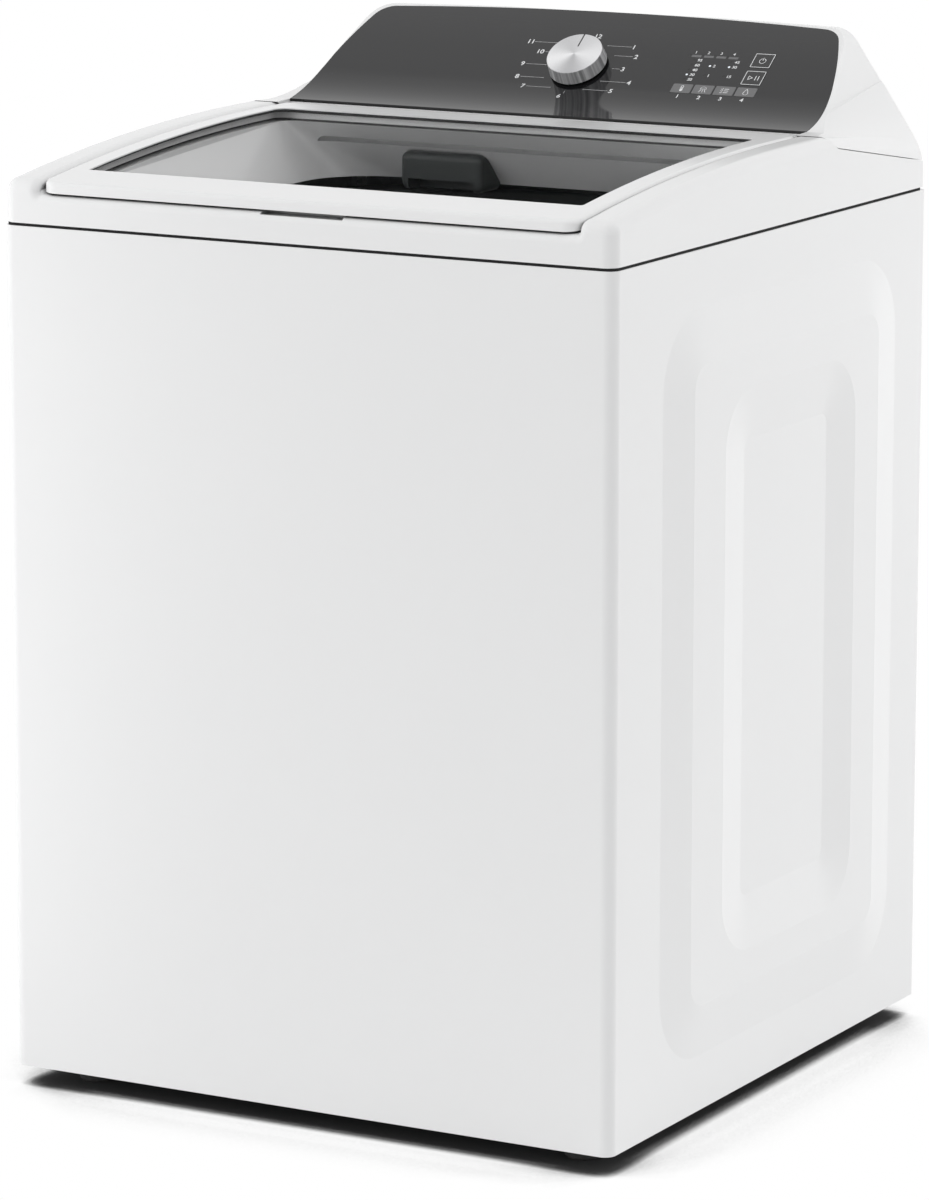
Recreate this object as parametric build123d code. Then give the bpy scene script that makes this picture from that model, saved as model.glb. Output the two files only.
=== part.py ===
from build123d import *
from math import asin, atan2, cos, hypot, pi, radians, sin, sqrt, tan
import os

# A top load washing machine in millimetres. The origin is on the floor below the middle of the
# cabinet: +Z is up, the front faces -Y and +X is the right-hand side as seen from the front.

# ---------------------------------------------------------------- clearances
slide_gap = 0.3        # between pieces of different bodies that pass each other
running_gap = 0.05     # radial, between a shaft and its bore
seat_gap = 0.1         # between pieces of one body that fit round each other
seam_gap = 0.8         # the fine line between top panel and console

# ---------------------------------------------------------------- cabinet
foot_gap = 22.0        # floor to the cabinet's lower edge
cabinet_width = 699.0
cabinet_depth = 711.0
cabinet_height = 880.0
cabinet_corner = 12.0  # radius of the front vertical edges
rear_corner = 4.0      # radius of the rear vertical edges
sheet = 1.2            # steel sheet
flange_width = 16.0    # folded edges at the top, bottom and rear
rear_setback = 2.2     # depth of the screw heads inside the rear edge

press_depth = 7.0      # height of the pressed field on each side
press_slope = 55.0     # width of its sloping border
field_middle = (15.0, 462.0)
field_size = (533.0, 764.0)
field_corner = 82.0
dish_middle = (22.0, 461.0)
dish_size = (300.0, 582.0)
dish_corner = 62.0
inner_corner = 12.0    # radius of the inner outline of both slopes

frame_height = 24.0
frame_sheet = 2.0
frame_flange = 34.0
foot_inset = 62.0      # from the cabinet's sides to the axis of a foot
foot_pad_radius = 19.0
foot_pad_height = 9.0
foot_stud_radius = 5.0
foot_stud_length = 58.0
foot_boss_radius = 13.0
foot_hex = 16.0        # across flats
foot_hex_height = 5.0

panel_bead = 4.0       # depth of the beads in the rear panel
bead_margin = 74.5     # from the rear panel's edges to the ends of a bead
bead_height = 300.0
screw_head_radius = 4.2
screw_shank_radius = 1.9
screw_length = 9.0

# ---------------------------------------------------------------- top panel
seam = 3.0             # the dark joint between the cabinet and the top panel
seam_inset = 1.6
top_side_inset = 0.8
top_rear_inset = 8.5
top_height = 76.0      # from the seam to the crown of the rails
top_wall = 3.0
top_corner = 13.6      # vertical front edges
top_round = 13.0       # upper outer edges
crown_inset = 270.5    # from the rear to where the arched rails are highest
crown_radius = 2960.0
rail_round = 9.0       # upper inner edge of a rail
ledge_round = 3.0      # where the rail rises from the ledge
step_inset = 236.5     # from the rear to the rails' step under the console
step_length = 20.0
step_drop = 13.5
step_round = 14.0
rear_slope = 9.5       # degrees, fall of the panel under the console

well_side_inset = 68.5 # from the cabinet's sides to the well's mouth under the lid
well_front_inset = 55.5
well_back_inset = 267.5
well_round = 18.0
lip_side_inset = 104.5 # from the cabinet's sides to the well's lower lip
lip_front_inset = 93.5
lip_back_inset = 205.5
lip_round = 75.0
finger_width = 94.0
finger_depth = 24.0
finger_height = 2.0
lip_z = 903.5

# ---------------------------------------------------------------- lid
lid_side_inset = 42.5
lid_side_gap = 2.0
lid_thickness = 11.0
lid_sink = 1.0         # from the rails' crown down to the closed lid
lid_lift = 3.5         # from the lid's lower side, as if not sunk, to the panel under it
lid_front_inset = 4.0
lid_rear_inset = 217.5
lid_edge_round = 4.5
lid_corner_round = 18.0
lid_rear_corner = 20.0
glass_side_border = 23.7
glass_front_border = 55.2
glass_rear_border = 54.6
glass_thickness = 4.0
glass_drop = 1.2       # from the frame's top down to the glass
glass_seat = 6.5       # how far the glass reaches under the frame
glass_corner = 8.0
hinge_inset = 241.5
hinge_z = 970.0
hinge_pin_radius = 3.0
hinge_pin_length = 25.0
hinge_pin_inset = 12.0 # how far a pin reaches into the lid
hinge_boss_radius = 7.0
hinge_swing = 26.0     # room for the lid's rear edge round the pin

# ---------------------------------------------------------------- console
facia_inset = 129.3    # from the rear to a point on the facia's straight part
facia_z = 1023.5
facia_angle = 36.55    # degrees above the horizontal
facia_high = 90.0      # middle of the crowned upper edge
facia_bend_start = -22.2
facia_bend_radius = 160.0
facia_side_inset = 40.2
facia_side_radius = 410.0
facia_side_start = -85.0
facia_crown_radius = 3875.0
facia_corner = 25.0
facia_thickness = 3.0
facia_ledge = 8.0
console_wall = 3.0
console_front_inset = 209.5  # from the rear to the front wall below the facia
console_rear_inset = 10.5
console_back_inset = 28.0  # the back bends forward here
console_back_z = 1012.0
console_low = 933.0
console_back_lean = 68.8  # degrees, slope of the back above that point
console_round = 4.0
shoulder_front = 981.0
shoulder_rear = 944.0
front_section_inset = 243.5
rear_section_beyond = 0.5
neck_side_inset = 41.0
neck_front = 984.0
neck_rear = 1022.0
crest_side_inset = 67.5
crest_z = 1073.5
top_crown_radius = 6458.0
console_corner_round = 25.0
flare_round = 58.0
cover_side_inset = 45.5
cover_height = 70.0
cover_corner = 16.0
cover_sheet = 2.5
bulge_height = 52.0
bulge_depth = 13.0
bulge_slope = 9.0
cover_margin = 24.0    # from the cover's ends to those of the window behind it
cover_window_height = 34.0
hinge_notch = 10.0     # the notch for the lid's rear edge starts this far before the pin

# ---------------------------------------------------------------- controls, on the facia
dial_x = 0.0
dial_v = 2.5
knob_face_radius = 30.7
knob_base_radius = 32.0
knob_height = 19.3
knob_lift = 3.6        # from the facia to the knob's lower edge
knob_wall = 1.6
knob_edge = 0.8
knob_collar_radius = 13.0
knob_shaft_radius = 3.0
pointer_width = 1.5
pointer_length = 19.0
pointer_depth = 0.4
selector_size = 24.0
selector_neck_radius = 6.5
key_pitch = 25.1
square_key = (23.0, 21.6)
small_key = (23.0, 13.6)
square_key_x = 207.8
power_key_v = 27.6
start_key_v = 0.6
small_key_v = -21.4
first_small_key_x = 132.4
key_stand = 0.4        # how far a key stands proud of the facia
key_travel = 0.8
key_flange = 1.2
key_corner = 1.2
key_stem_radius = 2.2
board_depth = 13.0     # from the facia's surface to the control board
board_sheet = 1.6
board_low = -32.0
board_high = 44.0
board_left = -40.0
board_right = 228.0
light_bar = (58.0, 3.4)
light_bar_at = (149.0, 29.6)
light_radius = 1.3
light_columns = (129.2, 150.5, 173.0)
light_rows = (23.1, 15.5, 8.0, 0.6, -6.8)

# ---------------------------------------------------------------- water in and out
nozzle_x = -100.0
nozzle_width = 99.0
nozzle_height = 40.0
nozzle_low = 899.0
nozzle_front_inset = 251.5
nozzle_round = 8.0
spout_width = 78.0
spout_height = 12.0
pipe_radius = 10.0
pipe_bore = 7.5
pipe_z = 919.5
pipe_bend = 22.0
valve_size = (104.0, 34.0, 30.0)
valve_z = 868.0
port_pitch = 56.0
port_radius = 13.2
port_bore = 8.5
port_room = 2.0        # round the ports and the drain pipe where they pass the rear panel
port_inset = 4.5
valve_pocket = (116.0, 56.0)
outlet_pocket = (90.0, 90.0)
pocket_depth = 31.0
pocket_corner = 10.0
outlet_side_inset = 144.5
outlet_inset = 70.5
outlet_z = 772.0
outlet_radius = 12.0
outlet_bore = 9.0
outlet_bend = 26.0
bellows_low = 284.0
bellows_top = 366.0
bellows_wall = 1.8
bellows_radius = 16.0
bellows_folds = 6
gland_side_inset = 104.5
gland_z = 780.0
gland_bore = 4.5
gland_radius = 9.0
gland_flange_radius = 13.0
gland_length = 15.0

# ---------------------------------------------------------------- tub and its suspension
tub_y = -15.0          # the tub's axis lies a little forward
tub_floor = 300.0
tub_side_room = 59.5   # from the nearer cabinet side to the tub
tub_rear_extra = 6.0   # more of it towards the rear, for the pipes
tub_wall = 4.0
tub_top = 870.0
tub_floor_wall = 5.0
tub_hub_radius = 34.0
tub_ring_height = 20.0
tub_ring_overhang = 9.0
tub_ring_reach = 52.0
tub_drop = 20.0        # how far the loaded tub sinks
tub_rise = 6.0
rod_inset = 14.0       # how much nearer the axis than the tub's radius, in x and in y
rod_radius = 4.0
rod_seat_z = 334.0
rod_seat_radius = 18.0
bracket_z = 850.0
bracket_sheet = 3.0
rod_head_radius = 10.0
bracket_reach = 185.0
lug_z = 420.0
lug_height = 14.0
lug_width = 40.0
lug_boss_radius = 20.0
spring_radius = 13.0
spring_wire = 1.8
spring_turns = 7

# ---------------------------------------------------------------- basket and agitator
basket_floor = 336.0
basket_room = 30.0
basket_sheet = 1.5
basket_round = 24.0
basket_top = 842.0
hole_radius = 3.0
hole_columns = 16
hole_rows = 6
ring_reach = 46.0
ring_overhang = 3.0
ring_height = 26.0
ring_round = 3.5
hub_flange_radius = 105.0
hub_flange_height = 8.0
spin_tube_radius = 25.0
spin_tube_low = 236.0
plate_room = 24.0
plate_low = 340.0
plate_rim = 7.0
plate_rise = 34.0
vane_count = 6
post_low_radius = 60.0
post_high_radius = 36.0
post_height = 290.0
post_wall = 3.0
fin_count = 4
fin_reach = 88.0
fin_top_reach = 44.0
fin_thickness = 5.0
agitator_shaft_radius = 12.0

# ---------------------------------------------------------------- drive below the tub
case_radius = 62.0
case_low = 186.0
case_floor = 6.0
case_flange_radius = 112.0
case_flange_height = 8.0
bearing_outer = 42.0
bearing_height = 14.0
gear_module = 1.5
sun_teeth = 14
planet_teeth = 19
planet_count = 3
gear_low = 196.0
gear_width = 16.0
tooth_share = 0.40     # of the pitch, so that the teeth run with play
planet_pin_radius = 4.0
carrier_height = 6.0
input_shaft_radius = 8.0
belt_low = 152.0
belt_width = 14.0
belt_thickness = 3.0
pulley_flange = 3.0
drive_pulley_radius = 75.0
motor_pulley_radius = 22.0
motor_distance = 172.0
motor_angle = 205.0    # degrees round the tub's axis
motor_radius = 60.0
motor_length = 88.0
motor_wall = 10.0
rotor_radius = 36.0
rotor_length = 60.0
motor_shaft_radius = 7.0
drive_plate_sheet = 4.0
pump_x = 118.0
pump_y = 118.0
pump_radius = 40.0
pump_height = 48.0
pump_wall = 4.0
pump_motor_radius = 26.0
pump_motor_height = 34.0
impeller_radius = 30.0
impeller_height = 18.0
impeller_blades = 6
pump_shaft_radius = 3.0

# ---------------------------------------------------------------- lid lock
lock_side_inset = 99.5
lock_front_inset = 29.5
lock_size = (62.0, 30.0, 20.0)
bolt_radius = 4.0
bolt_travel = 9.0
strike_width = 13.0
strike_sheet = 4.0

# ---------------------------------------------------------------- places that follow
half_width = cabinet_width / 2
front_y = -cabinet_depth / 2
rear_y = cabinet_depth / 2
well_half = half_width - well_side_inset
well_front = front_y + well_front_inset
well_back = rear_y - well_back_inset
lip_half = half_width - lip_side_inset
lip_front = front_y + lip_front_inset
lip_back = rear_y - lip_back_inset
crown_y = rear_y - crown_inset
step_y = rear_y - step_inset
lid_half = half_width - lid_side_inset
lid_front = front_y + lid_front_inset
lid_rear = rear_y - lid_rear_inset
glass_half_front = lid_half - glass_side_border
glass_front = lid_front + glass_front_border
glass_back = lid_rear - glass_rear_border
hinge_y = rear_y - hinge_inset
facia_y = rear_y - facia_inset
facia_half = half_width - facia_side_inset
console_front = rear_y - console_front_inset
console_rear = rear_y - console_rear_inset
console_back_y = rear_y - console_back_inset
front_section_y = rear_y - front_section_inset
rear_section_y = rear_y + rear_section_beyond
neck_half = half_width - neck_side_inset
crest_half = half_width - crest_side_inset
cover_half = half_width - cover_side_inset
cover_window = (2 * (cover_half - cover_margin), cover_window_height)
nozzle_front = rear_y - nozzle_front_inset
nozzle_back = console_front
port_end = rear_y - port_inset
outlet_y = rear_y - outlet_inset
outlet_x = half_width - outlet_side_inset
outlet_end = port_end
gland_x = -half_width + gland_side_inset
lock_x = half_width - lock_side_inset
lock_y = front_y + lock_front_inset
tub_radius = min(half_width, rear_y - tub_rear_extra) - tub_side_room
tub_ring_radius = tub_radius + tub_ring_overhang
tub_ring_inner = tub_radius - tub_ring_reach
rod_reach = tub_radius - rod_inset
basket_radius = tub_radius - basket_room
ring_inner = basket_radius - ring_reach
ring_outer = basket_radius + ring_overhang
plate_radius = basket_radius - plate_room
shell_top = foot_gap + cabinet_height
rear_sheet_y = rear_y - rear_setback - sheet        # inner face of the rear panel
top_low = shell_top + seam
top_half = half_width - top_side_inset
top_front = front_y + top_side_inset
top_rear = rear_y - top_rear_inset
crown_top = top_low + top_height
pocket_half_width = lid_half + lid_side_gap
pocket_drop = lid_thickness + lid_lift
slope_drop = tan(radians(rear_slope))
ring_teeth = sun_teeth + 2 * planet_teeth
rod_places = [(sx * rod_reach, tub_y + sy * rod_reach) for sx in (-1, 1) for sy in (-1, 1)]
foot_places = {
    "front_left_foot": (-half_width + foot_inset, front_y + foot_inset),
    "front_right_foot": (half_width - foot_inset, front_y + foot_inset),
    "rear_left_foot": (-half_width + foot_inset, rear_y - foot_inset),
    "rear_right_foot": (half_width - foot_inset, rear_y - foot_inset),
}


# ---------------------------------------------------------------- helpers
os.makedirs("parts", exist_ok=True)


def block(x, y, z):
    """A box between the two limits given for each axis."""
    size = (x[1] - x[0], y[1] - y[0], z[1] - z[0])
    return Pos(sum(x) / 2, sum(y) / 2, sum(z) / 2) * Box(*size)


def post(x, y, z, radius, bore=0.0):
    """An upright cylinder between two heights, with an optional bore right through."""
    height = z[1] - z[0]
    place = Pos(x, y, sum(z) / 2)
    solid = place * Cylinder(radius, height)
    return solid - place * Cylinder(bore, height + 2) if bore else solid


def rod_x(x, y, z, radius):
    """A cylinder along X between two limits."""
    return Pos(sum(x) / 2, y, z) * Rot(0, 90, 0) * Cylinder(radius, x[1] - x[0])


def rod_y(x, y, z, radius):
    """A cylinder along Y between two limits."""
    return Pos(x, sum(y) / 2, z) * Rot(90, 0, 0) * Cylinder(radius, y[1] - y[0])


def across(outline, x_from, x_to):
    """A side outline, drawn in y and z, made solid between two places in x."""
    side = Plane(origin=(x_from, 0, 0), x_dir=(0, 1, 0), z_dir=(1, 0, 0))
    return extrude(side * outline, amount=x_to - x_from)


def upwards(outline, z_from, z_to):
    """A plan outline made solid between two heights."""
    return extrude(Pos(0, 0, z_from) * outline, amount=z_to - z_from)


def turned(points, x=0.0, y=0.0):
    """A solid turned about an upright axis from the radii and heights of its section."""
    section = Plane.XZ * make_face(Polyline(*points, close=True))
    return Pos(x, y, 0) * revolve(section, Axis.Z)


def both_sides(solid):
    """A solid and its mirror image on the other side of the machine."""
    return solid + mirror(solid, about=Plane.YZ)


def save(name, solid):
    export_step(solid, f"parts/{name}.step")


def cornered_plan(half, y_low, y_high, front_radius, back_radius):
    """A plan outline, symmetric in x, with other corners at the rear than at the front."""
    face = Pos(0, (y_low + y_high) / 2) * Rectangle(2 * half, y_high - y_low)
    face = fillet(face.vertices().sort_by(Axis.Y)[:2], front_radius)
    return fillet(face.vertices().sort_by(Axis.Y)[-2:], back_radius)


def raised_field(side, size, radius, slope, depth, inner_radius):
    """A rounded field that rises off a plane with sloping borders."""
    base = side * RectangleRounded(*size, radius)
    top_size = [length - 2 * slope for length in size]
    top = side.offset(depth) * RectangleRounded(*top_size, inner_radius)
    return loft([base, top], ruled=True)


def edges_at(solid, test):
    """The edges of a solid whose middle passes a test of its x, y and z."""
    found = []
    for edge in solid.edges():
        middle = edge @ 0.5
        if test(middle.X, middle.Y, middle.Z):
            found.append(edge)
    return found


def tube(points, bend, outer, bore):
    """A pipe bent through the points given."""
    path = FilletPolyline(*points, radius=bend)
    start = Plane(origin=path @ 0, z_dir=path % 0)
    wall = sweep(start * Circle(outer), path=path)
    return wall - sweep(start * Circle(bore), path=path)


# ---------------------------------------------------------------- cabinet
rear_face_y = rear_sheet_y + sheet
port_places = [nozzle_x - port_pitch / 2, nozzle_x + port_pitch / 2]
screw_rows = [foot_gap + 38 + step * 202 for step in range(5)]
screw_places = [(sx * (half_width - 9.5), z) for sx in (-1, 1) for z in screw_rows]


def pressed_side(x_face):
    """The pressed side: a raised field with a dished middle, standing on the face at x."""
    outside = Plane(origin=(x_face, *field_middle), x_dir=(0, 1, 0), z_dir=(1, 0, 0))
    crest = Plane(origin=(x_face + press_depth, *dish_middle), x_dir=(0, 1, 0), z_dir=(-1, 0, 0))
    field_top = field_corner - press_slope
    field = raised_field(outside, field_size, field_corner, press_slope, press_depth, field_top)
    dish = raised_field(crest, dish_size, dish_corner, press_slope, press_depth, inner_corner)
    return field - dish


def cabinet_block(inset, low, high):
    """The cabinet's bulk, moved inwards by an inset."""
    plan = cornered_plan(half_width - inset, front_y + inset, rear_sheet_y - inset,
                         cabinet_corner - inset, rear_corner - inset)
    return upwards(plan, low, high)


wrapper = cabinet_block(0, foot_gap, shell_top) + both_sides(pressed_side(half_width))
hollow = cabinet_block(sheet, foot_gap - 1, shell_top - sheet)
hollow += both_sides(pressed_side(half_width - sheet))
mouth_half = half_width - flange_width
wrapper -= hollow
wrapper -= block((-mouth_half, mouth_half), (front_y + flange_width, rear_y),
                 (foot_gap - 1, shell_top + 1))
for x, z in screw_places:
    wrapper -= rod_y(x, (rear_sheet_y - 10, rear_y), z, screw_shank_radius + seat_gap)
save("cabinet_wrapper", wrapper)


def rear_pocket(x, z, size):
    """A pocket pressed into the rear panel and the space inside it."""
    bottom = rear_face_y - pocket_depth
    place = Plane(origin=(x, bottom, z), x_dir=(1, 0, 0), z_dir=(0, 1, 0))
    skin = extrude(place * RectangleRounded(*size, pocket_corner), amount=pocket_depth - sheet)
    inner = [length - 2 * sheet for length in size]
    space = extrude(place.offset(sheet) * RectangleRounded(*inner, pocket_corner - sheet),
                    amount=pocket_depth)
    return skin, space


rear_half = half_width - 5
rear_panel = block((-rear_half, rear_half), (rear_sheet_y, rear_face_y), (foot_gap + 1, shell_top))
rear_panel += block((-mouth_half + 1, mouth_half - 1), (rear_sheet_y - flange_width, rear_sheet_y),
                    (shell_top - sheet, shell_top))
for middle_z in (210.0, 560.0):
    inside = Plane(origin=(0, rear_sheet_y, middle_z), x_dir=(1, 0, 0), z_dir=(0, -1, 0))
    bead = (2 * (rear_half - bead_margin), bead_height)
    rear_panel += raised_field(inside, bead, 30, 10, panel_bead, 20)
    rear_panel -= raised_field(inside.offset(-sheet), bead, 30, 10, panel_bead, 20)
for x, z, size in ((nozzle_x, valve_z, valve_pocket), (outlet_x, outlet_z, outlet_pocket)):
    skin, space = rear_pocket(x, z, size)
    rear_panel = rear_panel + skin - space
for x in port_places:
    rear_panel -= rod_y(x, (rear_face_y - 40, rear_y), valve_z, port_radius + port_room)
rear_panel -= rod_y(outlet_x, (rear_face_y - 40, rear_y), outlet_z, outlet_radius + port_room)
rear_panel -= rod_y(gland_x, (rear_face_y - 9, rear_y), gland_z, gland_radius + seat_gap)
for x, z in screw_places:
    rear_panel -= rod_y(x, (rear_sheet_y - 1, rear_y), z, screw_shank_radius + seat_gap)
save("rear_panel", rear_panel)

frame_inset = sheet + seat_gap
frame_top = foot_gap + frame_height
base_frame = cabinet_block(frame_inset, foot_gap, frame_top)
base_frame -= cabinet_block(frame_inset + frame_sheet, foot_gap - 1, frame_top - frame_sheet)
inner_half = half_width - frame_flange
base_frame -= block((-inner_half, inner_half), (front_y + frame_flange, rear_sheet_y - frame_flange),
                    (foot_gap, frame_top + 1))
gusset = foot_inset + foot_boss_radius + 8
for x, y in foot_places.values():
    side_x = half_width - frame_inset
    side_y = (front_y + frame_inset) if y < 0 else (rear_sheet_y - frame_inset)
    corner_x = sorted((side_x, half_width - gusset))
    corner_x = corner_x if x > 0 else [-corner_x[1], -corner_x[0]]
    corner_y = sorted((side_y, side_y - gusset if y > 0 else side_y + gusset))
    corner = block(corner_x, corner_y, (frame_top - frame_sheet, frame_top))
    base_frame += corner & cabinet_block(frame_inset, foot_gap, frame_top)
    base_frame += post(x, y, (foot_gap + 8, frame_top), foot_boss_radius)
for x, y in foot_places.values():
    base_frame -= post(x, y, (foot_gap - 1, frame_top + 1), foot_stud_radius + slide_gap)
save("base_frame", base_frame)

for name, (x, y) in foot_places.items():
    foot = turned([(0, 0), (foot_pad_radius - 2, 0), (foot_pad_radius, 2),
                   (foot_pad_radius, foot_pad_height - 2), (foot_pad_radius - 5, foot_pad_height),
                   (0, foot_pad_height)], x, y)
    nut = Pos(x, y) * RegularPolygon(foot_hex / 2, 6, major_radius=False)
    foot += upwards(nut, foot_pad_height, foot_pad_height + foot_hex_height)
    foot += post(x, y, (foot_pad_height, foot_pad_height + foot_stud_length), foot_stud_radius)
    save(name, foot)

gasket_rear = top_rear - seam_inset


def gasket_plan(inset):
    return cornered_plan(half_width - inset, front_y + inset, gasket_rear - inset + seam_inset,
                         cabinet_corner - seam_inset, rear_corner)


gasket = upwards(gasket_plan(seam_inset), shell_top, top_low)
gasket -= upwards(gasket_plan(seam_inset + 11), shell_top - 1, top_low + 1)
save("top_gasket", gasket)

gland = rod_y(gland_x, (rear_face_y, rear_y), gland_z, gland_flange_radius)
gland += rod_y(gland_x, (rear_face_y - gland_length, rear_face_y), gland_z, gland_radius)
gland -= rod_y(gland_x, (rear_face_y - gland_length - 1, rear_y + 1), gland_z, gland_bore)
save("cord_gland", gland)

outlet_path = [(outlet_x, outlet_y, bellows_top), (outlet_x, outlet_y, outlet_z),
               (outlet_x, outlet_end, outlet_z)]
save("drain_pipe", tube(outlet_path, outlet_bend, outlet_radius, outlet_bore))


# ---------------------------------------------------------------- top panel
def arch(y, drop):
    """Height of the arched surface at y, a given depth below the rails' crown."""
    rise = sqrt(crown_radius ** 2 - (crown_y - y) ** 2) - crown_radius if y < crown_y else 0
    return crown_top - drop + rise


def arch_edges(y_from, y_to, drop):
    """The arched line from the front to the crown and the level line behind it."""
    middle = (y_from + crown_y) / 2
    curve = ThreePointArc((y_from, arch(y_from, drop)), (middle, arch(middle, drop)),
                          (crown_y, crown_top - drop))
    return [curve, Line((crown_y, crown_top - drop), (y_to, crown_top - drop))]


def under_arch(y_from, y_to, drop, low):
    """The face below the arched line."""
    edges = arch_edges(y_from, y_to, drop)
    edges.append(Polyline((y_to, crown_top - drop), (y_to, low), (y_from, low),
                          (y_from, arch(y_from, drop))))
    return make_face(edges)


def above_step(gap):
    """The face above the line where the rails step down to carry the console."""
    low_y = step_y + step_length
    low_z = crown_top - step_drop
    end_y = rear_y + 60
    line = FilletPolyline((step_y - 30, crown_top + gap), (step_y, crown_top + gap),
                          (low_y, low_z + gap), (end_y, low_z + gap - (end_y - low_y) * slope_drop),
                          radius=step_round)
    back = Polyline((end_y, low_z + gap - (end_y - low_y) * slope_drop),
                    (end_y, crown_top + 200), (step_y - 30, crown_top + 200),
                    (step_y - 30, crown_top + gap))
    return make_face([line, back])


def well(grow):
    """The funnel from the lid's opening to its lower lip, widened all round."""
    front_z = arch(well_front, pocket_drop)
    back_z = crown_top - pocket_drop
    lean = atan2(back_z - front_z, well_back - well_front)
    mouth_plane = Plane(origin=(0, (well_front + well_back) / 2, (front_z + back_z) / 2),
                        x_dir=(1, 0, 0), z_dir=(0, -sin(lean), cos(lean)))
    mouth_length = hypot(well_back - well_front, back_z - front_z)
    mouth = mouth_plane * RectangleRounded(2 * (well_half + grow), mouth_length + 2 * grow,
                                           well_round + grow)
    lip = Pos(0, (lip_front + lip_back) / 2, lip_z)
    lip = lip * RectangleRounded(2 * (lip_half + grow), lip_back - lip_front + 2 * grow,
                                 lip_round + grow)
    above = extrude(mouth, amount=40, dir=(0, 0, 1))
    below = extrude(lip, amount=20, dir=(0, 0, -1))
    return loft([lip, mouth], ruled=True) + above + below


def top_block(inset):
    """The top panel's outside, moved inwards by a wall's thickness."""
    half = top_half - inset
    front = top_front + inset
    low = top_low - inset
    solid = across(under_arch(front, top_rear - inset, inset, low), -half, half)
    upright = edges_at(solid, lambda x, y, z: abs(y - front) < 0.1 and abs(x) > half - 0.1)
    solid = fillet(upright, top_corner - inset)
    rim = edges_at(solid, lambda x, y, z: z > arch(y, inset) - 0.5 and y < top_rear - inset - 1
                   and (abs(x) > half - top_corner or abs(y - front) < 0.1))
    solid = fillet(rim, top_round - inset)
    pocket_side = pocket_half_width + inset
    pocket = block((-pocket_side, pocket_side), (front - 40, rear_y + 40), (low, crown_top + 40))
    floor_edges = under_arch(front - 60, rear_y + 60, pocket_drop + inset, low - 50)
    pocket -= across(floor_edges, -pocket_side - 1, pocket_side + 1)
    foot_edges = edges_at(pocket, lambda x, y, z: abs(x) > pocket_side - 0.1
                          and z < arch(y, pocket_drop + inset) + 0.5 and front - 39 < y < rear_y + 39)
    pocket = fillet(foot_edges, ledge_round + inset)
    solid -= pocket
    crest = edges_at(solid, lambda x, y, z: abs(abs(x) - pocket_side) < 0.1
                     and z > arch(y, inset) - 0.5 and front + 15 < y < top_rear - inset - 1)
    solid = fillet(crest, rail_round - inset)
    solid -= across(above_step(-inset), -half - 1, half + 1)
    solid -= block((-pocket_side, pocket_side), (hinge_y - hinge_notch - inset, console_front + inset),
                   (hinge_z - hinge_swing - inset, crown_top + 40))
    scoop = block((-finger_width / 2 - inset, finger_width / 2 + inset),
                  (front - 10, top_front + finger_depth + inset),
                  (arch(top_front, pocket_drop) - finger_height - inset, crown_top))
    upright = edges_at(scoop, lambda x, y, z: abs(x) > finger_width / 2 - 0.1 and y > top_front
                       and arch(top_front, pocket_drop) < z < crown_top - 5)
    solid -= fillet(upright, 7)
    return solid - well(inset)


top_panel = top_block(0) - top_block(top_wall)
pin_hole = rod_x((lid_half, lid_half + 8), hinge_y, hinge_z, hinge_pin_radius + slide_gap)
top_panel -= both_sides(pin_hole)
strike_y = lock_y
slot_floor = arch(strike_y, pocket_drop)
top_panel -= block((lock_x - strike_sheet / 2 - 2, lock_x + strike_sheet / 2 + 2),
                   (strike_y - strike_width / 2 - 5, strike_y + strike_width / 2 + 2),
                   (slot_floor - 10, slot_floor + 3))
top_panel -= rod_y(nozzle_x, (nozzle_front, nozzle_back + 30), pipe_z, pipe_radius + seat_gap)
save("top_panel", top_panel)


# ---------------------------------------------------------------- lid
def lid_slab(depth, thickness, half, y_low, y_high):
    """A slab between the lid's arched surface and a parallel one below it."""
    upper = under_arch(y_low, y_high, lid_sink + depth, hinge_z - 100)
    lower = under_arch(y_low - 1, y_high + 1, lid_sink + depth + thickness, hinge_z - 101)
    return across(upper, -half, half) - across(lower, -half - 1, half + 1)


def glass_plan(grow, front_radius, back_radius):
    """The pane's opening in plan, widened all round."""
    plan = cornered_plan(glass_half_front + grow, glass_front - grow, glass_back + grow,
                         front_radius, back_radius)
    return upwards(plan, hinge_z - 80, crown_top + 20)


lid_frame = lid_slab(0, lid_thickness, lid_half, lid_front, lid_rear)
upright = edges_at(lid_frame, lambda x, y, z: abs(x) > lid_half - 0.1 and y < lid_front + 0.1)
lid_frame = fillet(upright, lid_corner_round)
upright = edges_at(lid_frame, lambda x, y, z: abs(x) > lid_half - 0.1 and y > lid_rear - 0.1)
lid_frame = fillet(upright, lid_rear_corner)
rim = edges_at(lid_frame, lambda x, y, z: z > arch(y, lid_sink) - 0.5
               and (abs(x) > lid_half - 8 or y < lid_front + 3 or y > lid_rear - 7))
lid_frame = fillet(rim, lid_edge_round)
lid_frame -= glass_plan(0, 3, 13)
seat = glass_plan(glass_seat + seat_gap, glass_corner, glass_corner + 6)
lid_frame -= seat & lid_slab(glass_drop, lid_thickness, lid_half, lid_front, lid_rear)
boss_x = (lid_half - 22, lid_half - 2)
boss = rod_x(boss_x, hinge_y, hinge_z, hinge_boss_radius)
pin_x = (lid_half - hinge_pin_inset, lid_half - hinge_pin_inset + hinge_pin_length)
lid_frame += both_sides(boss)
lid_frame -= both_sides(rod_x((pin_x[0], lid_half + 5), hinge_y, hinge_z, hinge_pin_radius))
strike_top = arch(strike_y, lid_sink + lid_thickness)
save("lid_frame", lid_frame)

glass = glass_plan(glass_seat, glass_corner, glass_corner + 6)
glass &= lid_slab(glass_drop + seat_gap, glass_thickness, lid_half, lid_front, lid_rear)
save("lid_glass", glass)
save("lid_hinge_pins", both_sides(rod_x(pin_x, hinge_y, hinge_z, hinge_pin_radius)))

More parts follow.
